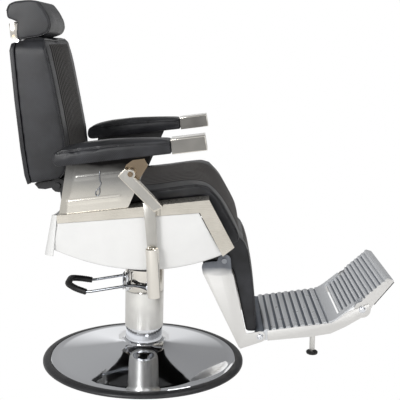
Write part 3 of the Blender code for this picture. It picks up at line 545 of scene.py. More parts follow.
def flowing(points, steps=6):
    """A smooth line through points (Catmull-Rom)."""
    pts = [Vector(p) for p in points]
    ends = [pts[0] * 2 - pts[1]] + pts + [pts[-1] * 2 - pts[-2]]
    line = []
    for a, b, c, d in zip(ends, ends[1:], ends[2:], ends[3:]):
        for i in range(steps):
            t = i / steps
            line.append(0.5 * (b * 2 + (c - a) * t + (a * 2 - b * 5 + c * 4 - d) * t * t
                               + (b * 3 - a - c * 3 + d) * t ** 3))
    return line + [pts[-1]]


def even(points, spacing):
    """The same line with its points a set distance apart."""
    pts = [Vector(p) for p in points]
    gone = [0.0]
    for a, b in zip(pts, pts[1:]):
        gone.append(gone[-1] + (b - a).length)
    count = max(2, int(round(gone[-1] / spacing)))
    line, k = [], 0
    for i in range(count + 1):
        want = gone[-1] * i / count
        while k < len(pts) - 2 and gone[k + 1] < want:
            k += 1
        t = (want - gone[k]) / max(1e-9, gone[k + 1] - gone[k])
        line.append(pts[k].lerp(pts[k + 1], min(1.0, max(0.0, t))))
    return line


# ---------------------------------------------------------------- base and column
def base():
    """Round floor base: a chromed dome in a rubber ring, with a collar round the column."""
    rim = BASE_RADIUS - 0.026
    crown = flowing([(0.066, 0.0700), (0.070, 0.0640), (0.080, 0.0570), (0.100, 0.0495),
                     (0.135, 0.0410), (0.180, 0.0320), (0.230, 0.0230), (0.272, 0.0160)], 5)
    lip = [(0.280, 0.0148), (0.288, 0.0144), (rim - 0.0012, 0.0140), (rim - 0.0003, 0.0132)]
    outer = [(p.x, p.y) for p in crown] + lip
    inner = [(rim - 0.0003, 0.0108), (0.272, 0.0138), (0.180, 0.0298), (0.100, 0.0473),
             (0.0690, 0.0610), (0.0604, 0.0610), (0.0604, 0.0690), (0.0620, 0.0706)]
    dome = turned("chrome_dome", outer + inner, 144, closed=True)
    dress(dome, CHROME, "root", "chrome", "base_cover")

    tread = [(rim + 0.0002, 0.0110), (rim + 0.0010, 0.0136), (rim + 0.0050, 0.0140),
             (rim + 0.0160, 0.0131), (BASE_RADIUS - 0.0042, 0.0112),
             (BASE_RADIUS - 0.0014, 0.0088), (BASE_RADIUS, 0.0062), (BASE_RADIUS, 0.0018),
             (BASE_RADIUS - 0.0018, 0.0), (rim + 0.0020, 0.0), (rim + 0.0002, 0.0016)]
    ring = turned("rubber_floor_ring", tread, 144, closed=True)
    dress(ring, RUBBER, "root", "black_rubber", "base_ring")

    collar = turned("column_collar", [(0.0600, 0.0695), (0.0600, 0.0730), (0.0612, 0.0730),
                                      (0.0624, 0.0722), (0.0640, 0.0712), (0.0662, 0.0702),
                                      (0.0650, 0.0695)], 96, closed=True)
    dress(collar, CHROME, "root", "chrome")


def column():
    """Ground steel sleeve and the pump head above it, with the pedal's pivot bosses."""
    inside = COLUMN_RADIUS - 0.0019
    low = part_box("column_sleeve")[0].z
    skin = [(COLUMN_RADIUS - 0.0004, low), (COLUMN_RADIUS, low + 0.0005),
            (COLUMN_RADIUS, SLEEVE_TOP - 0.0006), (COLUMN_RADIUS - 0.0005, SLEEVE_TOP),
            (inside, SLEEVE_TOP), (inside, low)]
    sleeve = turned("column_sleeve_skin", skin, 96, closed=True)
    dress(sleeve, TUBE_STEEL, "lift", "stainless", "column_sleeve")

    cap = [(COLUMN_RADIUS, HEAD_TOP - 0.0010), (COLUMN_RADIUS, SLEEVE_TOP + 0.0020),
           (COLUMN_RADIUS - 0.0006, SLEEVE_TOP + 0.0008), (inside, SLEEVE_TOP + 0.0008),
           (inside, HEAD_TOP), (COLUMN_RADIUS - 0.0010, HEAD_TOP)]
    head = turned("pump_head_skin", cap, 96, closed=True)
    for sign, _ in SIDES:
        boss = rod("pump_boss", (sign * 0.0590, *PUMP_AXIS), (sign * 0.0765, *PUMP_AXIS), 0.0045)
        cut(head, boss, "UNION")
    smooth(head)
    dress(head, BRIGHT, "lift", "chrome", "pump_head")
    for sign, side in SIDES:
        nut = hexagon("pump_pivot_nut_" + side, (sign * 0.0745, *PUMP_AXIS), (sign, 0, 0),
                      0.0075, 0.0040)
        dress(nut, CHROME, "lift", "chrome")


def hexagon(name, place, direction, radius, height):
    """A chamfered hexagon head."""
    deselect()
    bpy.ops.mesh.primitive_cylinder_add(vertices=6, radius=radius, depth=height,
                                        location=(0, 0, height / 2))
    nut = named(name)
    settle(nut)
    round_edges(nut, radius * 0.10, 2)
    ring = turned(name + "_washer", [(0.0, 0.0006), (radius * 1.15, 0.0006),
                                     (radius * 1.22, 0.0), (radius * 1.15, -0.0006),
                                     (0.0, -0.0006)], 24)
    cut(nut, ring, "UNION")
    return smooth(aim(nut, place, direction))


def dome_bolt(name, place, direction, radius, height):
    """A domed bolt head with a hexagon socket, on a thin washer."""
    profile = [(0.0, height * 0.45), (radius * 0.42, height * 0.45), (radius * 0.42, height)]
    profile += [(radius * (0.42 + 0.58 * sin(radians(a))), height * cos(radians(a)) * 0.9
                 + height * 0.1) for a in (20, 45, 70, 90)]
    profile += [(radius * 1.18, height * 0.10), (radius * 1.22, height * 0.02),
                (radius * 1.18, -0.0004), (0.0, -0.0004)]
    return aim(turned(name, profile, 28), place, direction)


def pump():
    """Foot pump: a bent wire loop with a ribbed rubber tread, pivoted on the head."""
    leg = 0.0690
    half = [(leg, *PUMP_AXIS), (leg, 0.035, 0.268), (leg, 0.178, 0.240), (0.058, 0.214, 0.248),
            (0.034, 0.243, 0.256)]
    corners = [(-x, y, z) for x, y, z in half] + half[::-1]
    route = rounded(corners, 0.018, 8)
    wire = tube("pump_wire", route, 0.0042, fineness=5)
    for sign, _ in SIDES:
        eye = rod("pump_eye", (sign * 0.0645, *PUMP_AXIS), (sign * 0.0742, *PUMP_AXIS), 0.0095,
                  rounding=0.0008)
        cut(wire, eye, "UNION")
    smooth(wire, 40)
    dress(wire, WIRE, "pump", "chrome", "pump_handle")

    grip_line = rounded([(-leg + 0.0012, 0.180, 0.2408), *corners[3:7],
                         (leg - 0.0012, 0.180, 0.2408)], 0.014, 8)
    tread = tube("pump_tread", even(grip_line, 0.0022), 0.0096, fineness=6)
    ribbed = even(grip_line, 0.0066)[2:-2]
    for i, centre in enumerate(ribbed):
        ahead = ribbed[min(i + 1, len(ribbed) - 1)] - ribbed[max(i - 1, 0)]
        ring = turned("tread_rib", [(0.0088, 0.0014), (0.0103, 0.0009), (0.0103, -0.0009),
                                    (0.0088, -0.0014)], 20, closed=True)
        aim(ring, centre, ahead)
        pick(tread)
        ring.select_set(True)
        bpy.ops.object.join()
    dress(smooth(tread, 50), SOFT_RUBBER, "pump", "black_rubber", "pump_grip")


def rounded(corners, radius, steps):
    """The corners of a path with each inner corner turned into a curve."""
    pts = [Vector(c) for c in corners]
    path = [pts[0]]
    for before, here, after in zip(pts, pts[1:], pts[2:]):
        reach = min(radius, (before - here).length * 0.45, (after - here).length * 0.45)
        a = here + (before - here).normalized() * reach
        b = here + (after - here).normalized() * reach
        path += [a.lerp(here, i / steps).lerp(here.lerp(b, i / steps), i / steps)
                 for i in range(steps + 1)]
    return path + [pts[-1]]


def pump_linkage():
    """Clevis on the head and the cranked rod that works the valve."""
    bearing = Matrix.Rotation(radians(42), 4, "Z")
    out = bearing @ Vector((0.0, 1.0, 0.0))
    across = bearing @ Vector((1.0, 0.0, 0.0))
    for sign, side in ((-1, "inner"), (1, "outer")):
        cheek = slab("clevis_cheek_" + side, [(0.0, 0.2460), (0.013, 0.2460), (0.013, 0.2980),
                                             (0.004, 0.3050), (-0.005, 0.3000), (-0.005, 0.2500)],
                     sign * 0.0115, sign * 0.0085, 0.0008)
        cheek.matrix_world = bearing @ Matrix.Translation((0.0, COLUMN_RADIUS + 0.0060, 0.0))
        dress(settle(cheek), CHROME, "lift", "chrome",
              *(["pump_bracket"] if sign < 0 else []))
    centre = out * (COLUMN_RADIUS + 0.0110)
    pin = rod("clevis_pin", centre - across * 0.0135 + Vector((0, 0, 0.288)),
              centre + across * 0.0135 + Vector((0, 0, 0.288)), 0.0032)
    dress(pin, CHROME, "lift", "chrome")
    link_route = rounded([tuple(centre + Vector((0, 0, 0.300))),
                          tuple(centre + Vector((0, 0, 0.276))),
                          (-0.0640, 0.0360, 0.2640), (-0.0680, 0.0080, 0.2620),
                          (-0.0690, -0.0160, 0.2530)], 0.010, 6)
    link = tube("valve_link_rod", link_route, 0.0034, fineness=4)
    dress(link, PAINTED, "lift", "dark_steel")


# ---------------------------------------------------------------- upholstery
def stuffed(name, node, voxel, pressure, cap, shrink, hold):
    """A plain cushion solid remeshed and blown up as cloth, held where hold(points) says."""
    deselect()
    source = nodes[node]
    mesh = source.data.copy()
    obj = bpy.data.objects.new(name, mesh)
    bpy.context.scene.collection.objects.link(obj)
    mesh.name = name
    pick(obj)
    bpy.ops.object.mode_set(mode="EDIT")
    bpy.ops.mesh.select_all(action="SELECT")
    bpy.ops.mesh.remove_doubles(threshold=1e-5)
    bpy.ops.transform.shrink_fatten(value=-shrink, use_even_offset=True)
    bpy.ops.object.mode_set(mode="OBJECT")
    mesh.remesh_voxel_size = voxel
    mesh.use_remesh_preserve_volume = True
    bpy.ops.object.voxel_remesh()
    rest = points_of(obj)
    group = obj.vertex_groups.new(name="held")
    weights = hold(rest)
    for index in np.nonzero(weights > 0.01)[0]:
        group.add([int(index)], float(weights[index]), "REPLACE")
    cloth = obj.modifiers.new("stuffing", "CLOTH")
    facts = cloth.settings
    facts.quality = 5
    facts.mass = 0.4
    facts.tension_stiffness = 18
    facts.compression_stiffness = 18
    facts.shear_stiffness = 8
    facts.bending_stiffness = 0.8
    facts.use_pressure = True
    facts.uniform_pressure_force = pressure
    facts.effector_weights.gravity = 0.0
    facts.vertex_group_mass = "held"
    first, last = 1, 20
    cloth.point_cache.frame_start = first
    cloth.point_cache.frame_end = last
    scene = bpy.context.scene
    for step in range(first, last + 1):
        scene.frame_set(step)
    blown = obj.evaluated_get(bpy.context.evaluated_depsgraph_get())
    moved = np.array([v.co for v in blown.data.vertices])
    shift = moved - rest
    length = np.linalg.norm(shift, axis=1, keepdims=True)
    shift *= np.minimum(1.0, cap / np.maximum(length, 1e-9))
    obj.modifiers.remove(cloth)
    obj.vertex_groups.clear()
    scene.frame_set(first)
    place_points(obj, rest + shift)
    mod = obj.modifiers.new("fine", "SUBSURF")
    mod.levels = 1
    mod.render_levels = 1
    finish_modifiers(obj)
    return obj


def points_of(obj):
    """Where the vertices are, one row each."""
    flat = np.empty(len(obj.data.vertices) * 3, np.float32)
    obj.data.vertices.foreach_get("co", flat)
    return flat.reshape(-1, 3).astype(float)


def normals_of(obj):
    """Which way the vertices face, one row each."""
    flat = np.empty(len(obj.data.vertices) * 3, np.float32)
    obj.data.vertices.foreach_get("normal", flat)
    return flat.reshape(-1, 3).astype(float)


def place_points(obj, points):
    """Moves the vertices to new places."""
    obj.data.vertices.foreach_set("co", points.astype(np.float32).ravel())
    obj.data.update()


def ease(value):
    """A smooth step from 0 to 1."""
    value = np.clip(value, 0.0, 1.0)
    return value * value * (3 - 2 * value)


def measure(points, line):
    """For each (y, z) row: distance to a line of (y, z) points, and how far along it lies."""
    line = np.array([tuple(p) for p in line], float)
    gone = np.concatenate([[0.0], np.cumsum(np.linalg.norm(np.diff(line, axis=0), axis=1))])
    best = np.full(len(points), 1e9)
    along = np.zeros(len(points))
    for i in range(len(line) - 1):
        a, step = line[i], line[i + 1] - line[i]
        size = step @ step
        t = np.clip(((points - a) @ step) / size, 0, 1)
        away = np.linalg.norm(points - (a + t[:, None] * step), axis=1)
        near = away < best
        best[near] = away[near]
        along[near] = (gone[i] + t * sqrt(size))[near]
    return best, along, gone[-1]


def groove(obj, distance, depth, width):
    """Presses a seam into a pad: depth at distance 0, fading over width."""
    dip = depth * np.exp(-(distance / width) ** 2)
    place_points(obj, points_of(obj) - normals_of(obj) * dip[:, None])


def sewn_edge(pad, line, x, depth, width):
    """Presses the seam where a pad's fluted face meets its side, x from the middle."""
    points = points_of(pad)
    away, _, _ = measure(points[:, 1:], line)
    groove(pad, np.hypot(away, np.abs(points[:, 0]) - x), depth, width)


def bed(obj, line, half, depth):
    """Lowers the strip of a pad that the fluted panel covers."""
    edge, reach, run_out = 0.012, 0.030, 0.012
    points = points_of(obj)
    away, along, total = measure(points[:, 1:], line)
    inside = ease((half + edge * 0.5 - np.abs(points[:, 0])) / edge)
    inside *= ease((reach - away) / (reach * 0.4))
    inside *= ease(along / run_out) * ease((total - along) / run_out)
    place_points(obj, points - normals_of(obj) * (depth * inside)[:, None])


def skin_of(obj):
    """A pad's surface, to lay seams and flutes on."""
    dg = bpy.context.evaluated_depsgraph_get()
    dg.update()
    return BVHTree.FromObject(obj, dg)


def flutes(name, pad, line, panel_size, height, body, finish):
    """Sewn flutes that run along a side line, laid on a pad's own surface."""
    half, count = panel_size
    spacing = 0.006
    skin = skin_of(pad)
    route = even(line, spacing)
    columns = count * 8
    rows = len(route) - 1
    headings = []
    for i in range(len(route)):
        step = route[min(i + 1, rows)] - route[max(i - 1, 0)]
        headings.append(Vector((-step.y, step.x)).normalized())

    def place(u, v):
        x = (u * 2 - 1) * half
        spot = v * rows
        i = min(int(spot), rows - 1)
        t = spot - i
        at = route[i].lerp(route[i + 1], t)
        out = headings[i].lerp(headings[i + 1], t).normalized()
        way = Vector((0.0, out.x, out.y))
        origin = Vector((x, at.x, at.y)) + way * 0.040
        hit = skin.ray_cast(origin, -way, 0.08)
        there = hit[0] if hit[0] is not None else Vector((x, at.x, at.y))
        phase = (u * count) % 1.0
        if u >= 1.0:
            phase = 1.0
        ends = min(1.0, v * rows * spacing / 0.010, (1 - v) * rows * spacing / 0.010)
        sides = min(1.0, (1 - abs(u * 2 - 1)) * half / 0.003)
        fluted = height * (1 - abs(2 * phase - 1) ** 2.4) * ends ** 0.5
        return there + way * (fluted + 0.0004 - 0.0022 * (1 - ends) - 0.0015 * (1 - sides))

    obj = panel(name, columns, rows, place, 0.0016)
    return dress(smooth(face_out(obj), 80), finish, body, "black_leather")


def welt(name, pad, points, radius, body, lift):
    """Piping sewn along a seam, laid on the pad's own surface."""
    skin = skin_of(pad)
    line = []
    for point in points:
        near, normal, _, _ = skin.find_nearest(Vector(point))
        line.append(near + normal * lift)
    for _ in range(3):
        line[1:-1] = [(a + b * 2 + c) / 4 for a, b, c in zip(line, line[1:], line[2:])]
    obj = tube(name, line, radius, fineness=3)
    return dress(obj, VINYL_PIPING, body, "black_leather")


def both_edges(pad_name, pad, line, x, radius, body, lift, spacing=0.005):
    """Piping along a side line, x from the middle on both sides of a pad."""
    for sign, side in SIDES:
        points = [(sign * x, p.x, p.y) for p in even(line, spacing)]
        welt(pad_name + "_piping_" + side, pad, points, radius, body, lift)


# Side lines of the upholstered faces, (y, z).
SEAT_LINE = [(0.1930, 0.5755), (0.1500, 0.5830), (0.0500, 0.5960), (-0.0500, 0.6090),
             (-0.1400, 0.6235), (-0.1720, 0.6265), (-0.1970, 0.6180), (-0.2280, 0.5900),
             (-0.2580, 0.5400), (-0.2850, 0.4920), (-0.2905, 0.4760)]
BACK_LINE = [(0.2320, 0.6245), (0.2180, 0.6420), (0.2135, 0.6800), (0.2200, 0.7390),
             (0.2420, 0.8550), (0.2600, 0.9450), (0.2760, 1.0080), (0.2860, 1.0240)]
LEG_LINE = [(-0.3540, 0.1720), (-0.3430, 0.2890), (-0.3340, 0.3510), (-0.3220, 0.4130),
            (-0.3080, 0.4400), (-0.2880, 0.4580), (-0.2620, 0.4665)]


def rail_top(y):
    """Height of the seat rails' upper edge, on which the seat cushion sits."""
    return 0.543 + (0.221 - y) * 0.1325


def rail_bottom(y):
    """Height of the seat rails' lower edge, to which the white covers reach."""
    return 0.521 + (0.217 - y) * 0.105


def seat():
    """Seat cushion: a fluted top that rolls over the front, with piping on both sides."""
    def held(points):
        depth = points[:, 2] - rail_top(points[:, 1])
        flat = (depth < 0.004) & (points[:, 1] > -0.19)
        inner = (points[:, 1] < -0.19) & (points[:, 1] > -0.262) & (points[:, 2] < 0.53)
        rear = points[:, 1] > 0.190
        edge = np.abs(np.abs(points[:, 0]) - SEAT_X + 0.004) < 0.004
        away, _, _ = measure(points[:, 1:], SEAT_LINE)
        seam = edge & (away < 0.010)
        return np.where(flat | rear | seam, 1.0, np.where(inner, 0.7, 0.0))

    pad = stuffed("seat_pad", "seat_cushion", 0.0062, 5.0, 0.010, 0.0008, held)
    sewn_edge(pad, SEAT_LINE, SEAT_X - 0.0035, 0.0030, 0.0045)
    bed(pad, SEAT_LINE, SEAT_PANEL[0], 0.0050)
    dress(smooth(pad, 80), VINYL, "swivel", "black_leather", "seat_cushion")
    flutes("seat_flutes", pad, SEAT_LINE[::-1], SEAT_PANEL, 0.0052, "swivel", VINYL_SEAT)
    both_edges("seat", pad, flowing(SEAT_LINE, 4), SEAT_X - 0.0010, 0.0024, "swivel", 0.0004)


def back():
    """Back cushion, its fluted panel and piping, and the upholstered board behind it."""
    def held(points):
        away, _, _ = measure(points[:, 1:], BACK_LINE)
        rear_line = [(0.3185, 0.6075), (0.3255, 0.6330), (0.3360, 0.7030), (0.3515, 0.8460),
                     (0.3635, 0.9860)]
        behind, _, _ = measure(points[:, 1:], rear_line)
        edge = np.abs(points[:, 0]) > BACK_X - 0.008
        return np.where(behind < 0.006, 1.0, np.where(edge & (away < 0.008), 1.0, 0.0))

    pad = stuffed("back_pad", "back_cushion", 0.0058, 5.0, 0.010, 0.0008, held)
    sewn_edge(pad, BACK_LINE, BACK_X - 0.0035, 0.0030, 0.0045)
    bed(pad, BACK_LINE[1:-1], BACK_PANEL[0], 0.0050)
    dress(smooth(pad, 80), VINYL, "back", "black_leather", "back_cushion")
    flutes("back_flutes", pad, BACK_LINE[1:-1], BACK_PANEL, 0.0052, "back", VINYL_BACK)

    # Piping up one side, round the corner, across the top and down the other side.
    radius = 34 * MM
    centre_x = BACK_X - radius
    side = [Vector((-BACK_X + 0.0010, p.x, p.y)) for p in flowing(BACK_LINE, 4)
            if p.y < 1.018 - radius]
    top_y = 0.2845
    corner = [Vector((-centre_x - radius * cos(radians(a)), 0.272 + 0.0125 * a / 90,
                      1.0180 - radius + radius * sin(radians(a)) + 0.004 * a / 90))
              for a in range(8, 90, 10)]
    half = side + corner
    middle = [Vector((x, top_y, 1.0225)) for x in np.linspace(-centre_x, centre_x, 40)]
    other = [Vector((-p.x, p.y, p.z)) for p in reversed(half)]
    welt("back_front_piping", pad, even(half + middle + other, 0.005), 0.0024, "back", 0.0004)

    board = round_edges(copy_of("back_board", "back_shell"), 0.0035, 3, 40)
    dress(smooth(board, 50), VINYL, "back", "black_leather", "back_shell")


def copy_of(name, node):
    """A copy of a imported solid, welded so that it can be worked on."""
    deselect()
    obj = bpy.data.objects.new(name, nodes[node].data.copy())
    obj.data.name = name
    bpy.context.scene.collection.objects.link(obj)
    pick(obj)
    bpy.ops.object.mode_set(mode="EDIT")
    bpy.ops.mesh.select_all(action="SELECT")
    bpy.ops.mesh.remove_doubles(threshold=1e-5)
    bpy.ops.mesh.dissolve_limited(angle_limit=radians(1.0))
    bpy.ops.object.mode_set(mode="OBJECT")
    return obj


HEAD_LINE = [(0.3700, 1.0150), (0.3060, 1.0270), (0.2830, 1.0370), (0.2740, 1.0560),
             (0.2780, 1.0790), (0.2920, 1.1050), (0.3110, 1.1290), (0.3360, 1.1320),
             (0.3780, 1.1270), (0.3980, 1.1180), (0.4060, 1.0980), (0.4030, 1.0780)]


def headrest():
    """Headrest roll with piped ends, in a folded bracket with a cross bar and rivets."""
    def held(points):
        away, _, _ = measure(points[:, 1:], HEAD_LINE)
        seam = (np.abs(points[:, 0]) > HEAD_X - 0.007) & (away < 0.007)
        notch = (points[:, 1] > 0.368) & (points[:, 2] < 1.082)
        return np.where(seam | notch, 1.0, 0.0)

    pad = stuffed("headrest_roll", "headrest_pad", 0.0042, 6.0, 0.007, 0.0006, held)
    sewn_edge(pad, HEAD_LINE, HEAD_X - 0.0030, 0.0022, 0.0035)
    dress(smooth(pad, 80), VINYL, "headrest_tilt", "black_leather", "headrest_pad")
    both_edges("headrest", pad, flowing(HEAD_LINE[:-1], 4), HEAD_X - 0.0015, 0.0022,
               "headrest_tilt", 0.0002, 0.004)

    plate = [(0.3785, 1.0180), (0.3825, 1.0180), (0.3825, 1.0660), (0.3785, 1.0660)]
    bracket = slab("headrest_channel", plate, -0.095, 0.095, 0.0008)
    for sign, _ in SIDES:
        flange = slab("flange", [(0.3800, 1.0170), (0.3990, 1.0205), (0.4035, 1.0620),
                                 (0.3830, 1.0690), (0.3790, 1.0660)],
                      sign * 0.0955, sign * 0.0935, 0.0005)
        cut(bracket, flange, "UNION")
    knuckle = rod("knuckle", (-0.0925, 0.390, 1.046), (0.0925, 0.390, 1.046), 0.0045)
    cut(bracket, knuckle, "UNION")
    smooth(bracket)
    dress(bracket, BRIGHT, "headrest_tilt", "chrome", "headrest_bracket")
    for sign, side in SIDES:
        for place, label in (((0.3925, 1.0590), "upper"), ((0.3905, 1.0270), "lower")):
            rivet = dome_bolt(f"headrest_rivet_{label}_{side}", (sign * 0.0955, *place),
                              (sign, 0, 0), 0.0028, 0.0016)
            # The rivets carry the painted brown reflection.
            dress(rivet, BROWN_REFLECTION_CHROME, "headrest_tilt", "chrome")


def legrest_pad():
    """Legrest cushion with its flutes and piping."""
    def held(points):
        away, _, _ = measure(points[:, 1:], LEG_LINE)
        seam = (np.abs(points[:, 0]) > LEG_PAD_X - 0.006) & (away < 0.008)
        rear_line = [(-0.3225, 0.1640), (-0.2800, 0.3420), (-0.2750, 0.3540), (-0.2100, 0.3520)]
        behind, _, _ = measure(points[:, 1:], rear_line)
        swept = np.hypot(points[:, 1] + 0.250, points[:, 2] - 0.385) > 0.082
        top = swept & (points[:, 2] > 0.40) & (points[:, 1] > -0.30)
        return np.where(seam | (behind < 0.005) | top, 1.0, 0.0)

    pad = stuffed("legrest_pad", "legrest_cushion", 0.0052, 5.0, 0.008, 0.0008, held)
    sewn_edge(pad, LEG_LINE, LEG_PAD_X - 0.0030, 0.0026, 0.0040)
    bed(pad, LEG_LINE[:-2], LEG_PANEL[0], 0.0045)
    dress(smooth(pad, 80), VINYL, "legrest", "black_leather", "legrest_cushion")
    flutes("legrest_flutes", pad, LEG_LINE[:-2], LEG_PANEL, 0.0046, "legrest", VINYL_LEG)
    both_edges("legrest", pad, flowing(LEG_LINE, 4), LEG_PAD_X - 0.0010, 0.0022, "legrest",
               0.0003)


ARM_TOP = [(0.2140, 0.7290), (0.1900, 0.7335), (0.1600, 0.7390), (0.0700, 0.7520),
           (-0.0200, 0.7592), (-0.0900, 0.7620)]


def arm_pads():
    """Arm pads, with a piped seam 10 mm below the top on each side."""
    seam = [(y, z - 0.010) for y, z in ARM_TOP]
    rear, rear_floor, floor_slope = 0.214, 0.6815, 0.0440 / 0.3097

    def held(points):
        front = points[:, 1] < -0.088
        floor = rear_floor + (rear - points[:, 1]) * floor_slope
        return np.where(front | (points[:, 2] < floor + 0.004), 1.0, 0.0)

    for sign, side in SIDES:
        pad = stuffed("arm_cushion_" + side, "arm_pad_" + side, 0.0042, 6.0, 0.005, 0.0006,
                      held)
        points = points_of(pad)
        x_out = np.abs(points[:, 0]) - ARM_OUT + 0.002
        x_in = np.abs(points[:, 0]) - ARM_IN - 0.002
        away, _, _ = measure(points[:, 1:], seam)
        near = np.minimum(np.hypot(away, x_out), np.hypot(away, x_in))
        groove(pad, near, 0.0016, 0.0030)
        dress(smooth(pad, 80), VINYL, "swivel", "black_leather", "arm_pad_" + side)
        for x, label in ((ARM_OUT, "outer"), (ARM_IN, "inner")):
            line = [(sign * x, p.x, p.y) for p in even(flowing(seam, 4), 0.005)]
            welt(f"arm_{label}_piping_{side}", pad, line, 0.0018, "swivel", 0.0003)


# ---------------------------------------------------------------- sheet metal and covers
def arm_caps():
    """Polished end caps: a deep tray with a thin raised rim, closed by a recessed face."""
    outline = [(-0.0962, 0.7245), (-0.1910, 0.7385), (-0.1830, 0.7785), (-0.0908, 0.7645)]
    cap = slab("arm_end_cap_right", outline, -ARM_OUT, -ARM_IN, 0.0012, 3)
    inset = [(-0.0940, 0.7262), (-0.1885, 0.7402), (-0.1815, 0.7752), (-0.0925, 0.7620)]
    depth = 0.0012
    for x in (-ARM_OUT, -ARM_IN):
        cut(cap, slab("pocket", inset, x - depth, x + depth))
    smooth(cap)
    def recessed(face):
        deep = ARM_IN + 0.0008 < abs(face.center.x) < ARM_OUT - 0.0008
        return deep and abs(face.normal.x) > 0.9

    for obj in pair_of(cap, BRIGHT, "swivel", "chrome", "arm_cap_right"):
        finish_faces(obj, CAP_FACE, recessed)


def paint_shade_inside(right, left):
    """Painted shade: black painted steel on the faces of a pair that are turned towards the seat,
    where there is only shade.
    """
    finish_faces(right, PAINTED, lambda face: face.normal.x > 0.6)
    finish_faces(left, PAINTED, lambda face: face.normal.x < -0.6)


def arm_plates():
    """Pressed side plates: two stiffening swages and a folded rear edge."""
    rear_low = Vector((0.2165, rail_top(0.2165) + 0.0006))
    front_low = Vector((0.0240, rail_top(0.0240) + 0.0006))
    front_high = Vector((-0.0370, 0.7165))
    rear_high = Vector((0.1955, 0.6835))

    swages = ((0.715, 0.13, 0.78), (0.235, 0.07, 0.84))
    fold_at, fold_depth = 0.115, 0.011

    def place(u, v):
        at = rear_low.lerp(front_low, u).lerp(rear_high.lerp(front_high, u), v)
        x = -PLATE_X + 0.0015
        for level, start, stop in swages:
            span = ease((u - start) / 0.03) * ease((stop - u) / 0.03)
            x -= span * 0.0010 * np.exp(-((v - level) / 0.034) ** 2)
        x += fold_depth * max(0.0, fold_at - u) / fold_at
        return (float(x), at.x, at.y)

    plate = panel("arm_side_plate_right", 72, 72, place, 0.0024)
    round_edges(plate, 0.0005, 2, 80)
    # The outer faces carry the painted reflection of the arm sheet.
    # Their faces towards the seat take painted shade.
    paint_shade_inside(*pair_of(smooth(plate, 50), ARM_SHEET_PAINTED_REFLECTION, "swivel", "stainless",
                         "arm_plate_right"))


def towel_hook():
    """A small hook of bent wire on the right side plate."""
    bend = [(0.1023, 0.6690), (0.1023, 0.6462), (0.0985, 0.6353), (0.1035, 0.6240),
            (0.1117, 0.6154), (0.1131, 0.6056), (0.1076, 0.6015), (0.1021, 0.6087),
            (0.1022, 0.6230)]
    line = flowing([(-PLATE_X - 0.0030, y, z) for y, z in bend], 5)
    hook = tube("arm_plate_hook", [(-PLATE_X + 0.0010, 0.1023, 0.6700)] + line, 0.0015)
    dress(hook, WIRE, "swivel", "chrome")


def rails():
    """Trim rails: folded stainless, a top flange and a face, meeting at a butt joint."""
    joint_y, gap, wall = -0.065, 0.0005, 0.0022
    rear = [(0.221, rail_top(0.221)), (0.219, rail_bottom(0.219)),
            (joint_y + gap, rail_bottom(joint_y)), (joint_y + gap, rail_top(joint_y))]
    front = [(joint_y - gap, rail_top(joint_y)), (joint_y - gap, rail_bottom(joint_y)),
             (-0.1745, rail_bottom(-0.1745)), (-0.2415, 0.4400), (-0.2730, 0.4665),
             (-0.1995, rail_top(-0.1995))]
    for label, outline, y_from, y_to in (("rear", rear, 0.221, joint_y + gap),
                                         ("front", front, joint_y - gap, -0.1990)):
        face = slab(f"{label}_rail_face_right", outline, -RAIL_X, -RAIL_X + wall)
        strip = [(y_from, rail_top(y_from) - wall), (y_to, rail_top(y_to) - wall),
                 (y_to, rail_top(y_to)), (y_from, rail_top(y_from))]
        cut(face, slab("flange", strip, -RAIL_X + 0.0008, -0.2705), "UNION")
        round_edges(face, 0.0007, 3, 40)
        pair_of(smooth(face), SHEET, "swivel", "stainless", f"{label}_rail_right")


def skirts():
    """White moulded covers below the seat, bowed and turned in along their lower edge."""
    top_rear, top_front = 0.2185, -0.1720
    low_rear, low_front = 0.2330, -0.2395

    def place(u, v):
        y_top = top_rear + (top_front - top_rear) * u
        y_low = low_rear + (low_front - low_rear) * u
        z_top = rail_bottom(y_top) - 0.0010
        z_low = 0.391 + 0.85 * (y_low + 0.010) ** 2 - 0.18 * (y_low + 0.010) ** 3
        y = y_low + (y_top - y_low) * v
        z = z_low + (z_top - z_low) * v
        x = 0.3410 - (0.004 + 0.010 * (1 - v)) * (y / 0.24) ** 2 - 0.010 * (1 - v) ** 2
        x -= 0.0040 * max(0.0, 1 - v / 0.035) ** 2
        return (-x, y, z)

    skirt = panel("side_cover_right", 64, 40, place, 0.0030)
    round_edges(skirt, 0.0008, 2, 80)
    # The covers' inner faces take painted shade: black, for the shade under the seat.
    paint_shade_inside(*pair_of(smooth(skirt, 60), WHITE_ABS, "swivel", "white_gloss",
                         "side_skirt_right"))

    # The rear cover wraps round a corner at each end, here (x, y), and is straight between.
    corner = flowing([(-0.328, 0.2345), (-0.325, 0.2440), (-0.315, 0.2550), (-0.298, 0.2620),
                      (-0.270, 0.2650)], 8)
    share = 0.12

    def rear(u, v):
        side = min(u, 1 - u)
        if side < share:
            reach = side / share
            spot = reach * (len(corner) - 1)
            i = min(int(spot), len(corner) - 2)
            at = corner[i].lerp(corner[i + 1], spot - i)
        else:
            reach = 1.0
            at = Vector((corner[-1].x * (0.5 - side) / (0.5 - share), corner[-1].y))
        x = at.x * (1.0 + 0.028 * v)
        y = at.y - (0.0145 + 0.011 * reach) * v
        middle = 1 - (x / 0.335) ** 2
        z_low = 0.424 - 0.020 * middle
        z_top = 0.542 - 0.019 * (1 - (x / 0.335) ** 4)
        return (x if u <= 0.5 else -x, y, z_low + (z_top - z_low) * v)

    cover = panel("rear_valance", 112, 24, rear, 0.0030)
    dress(smooth(cover, 60), WHITE_ABS, "swivel", "white_gloss", "rear_cover")


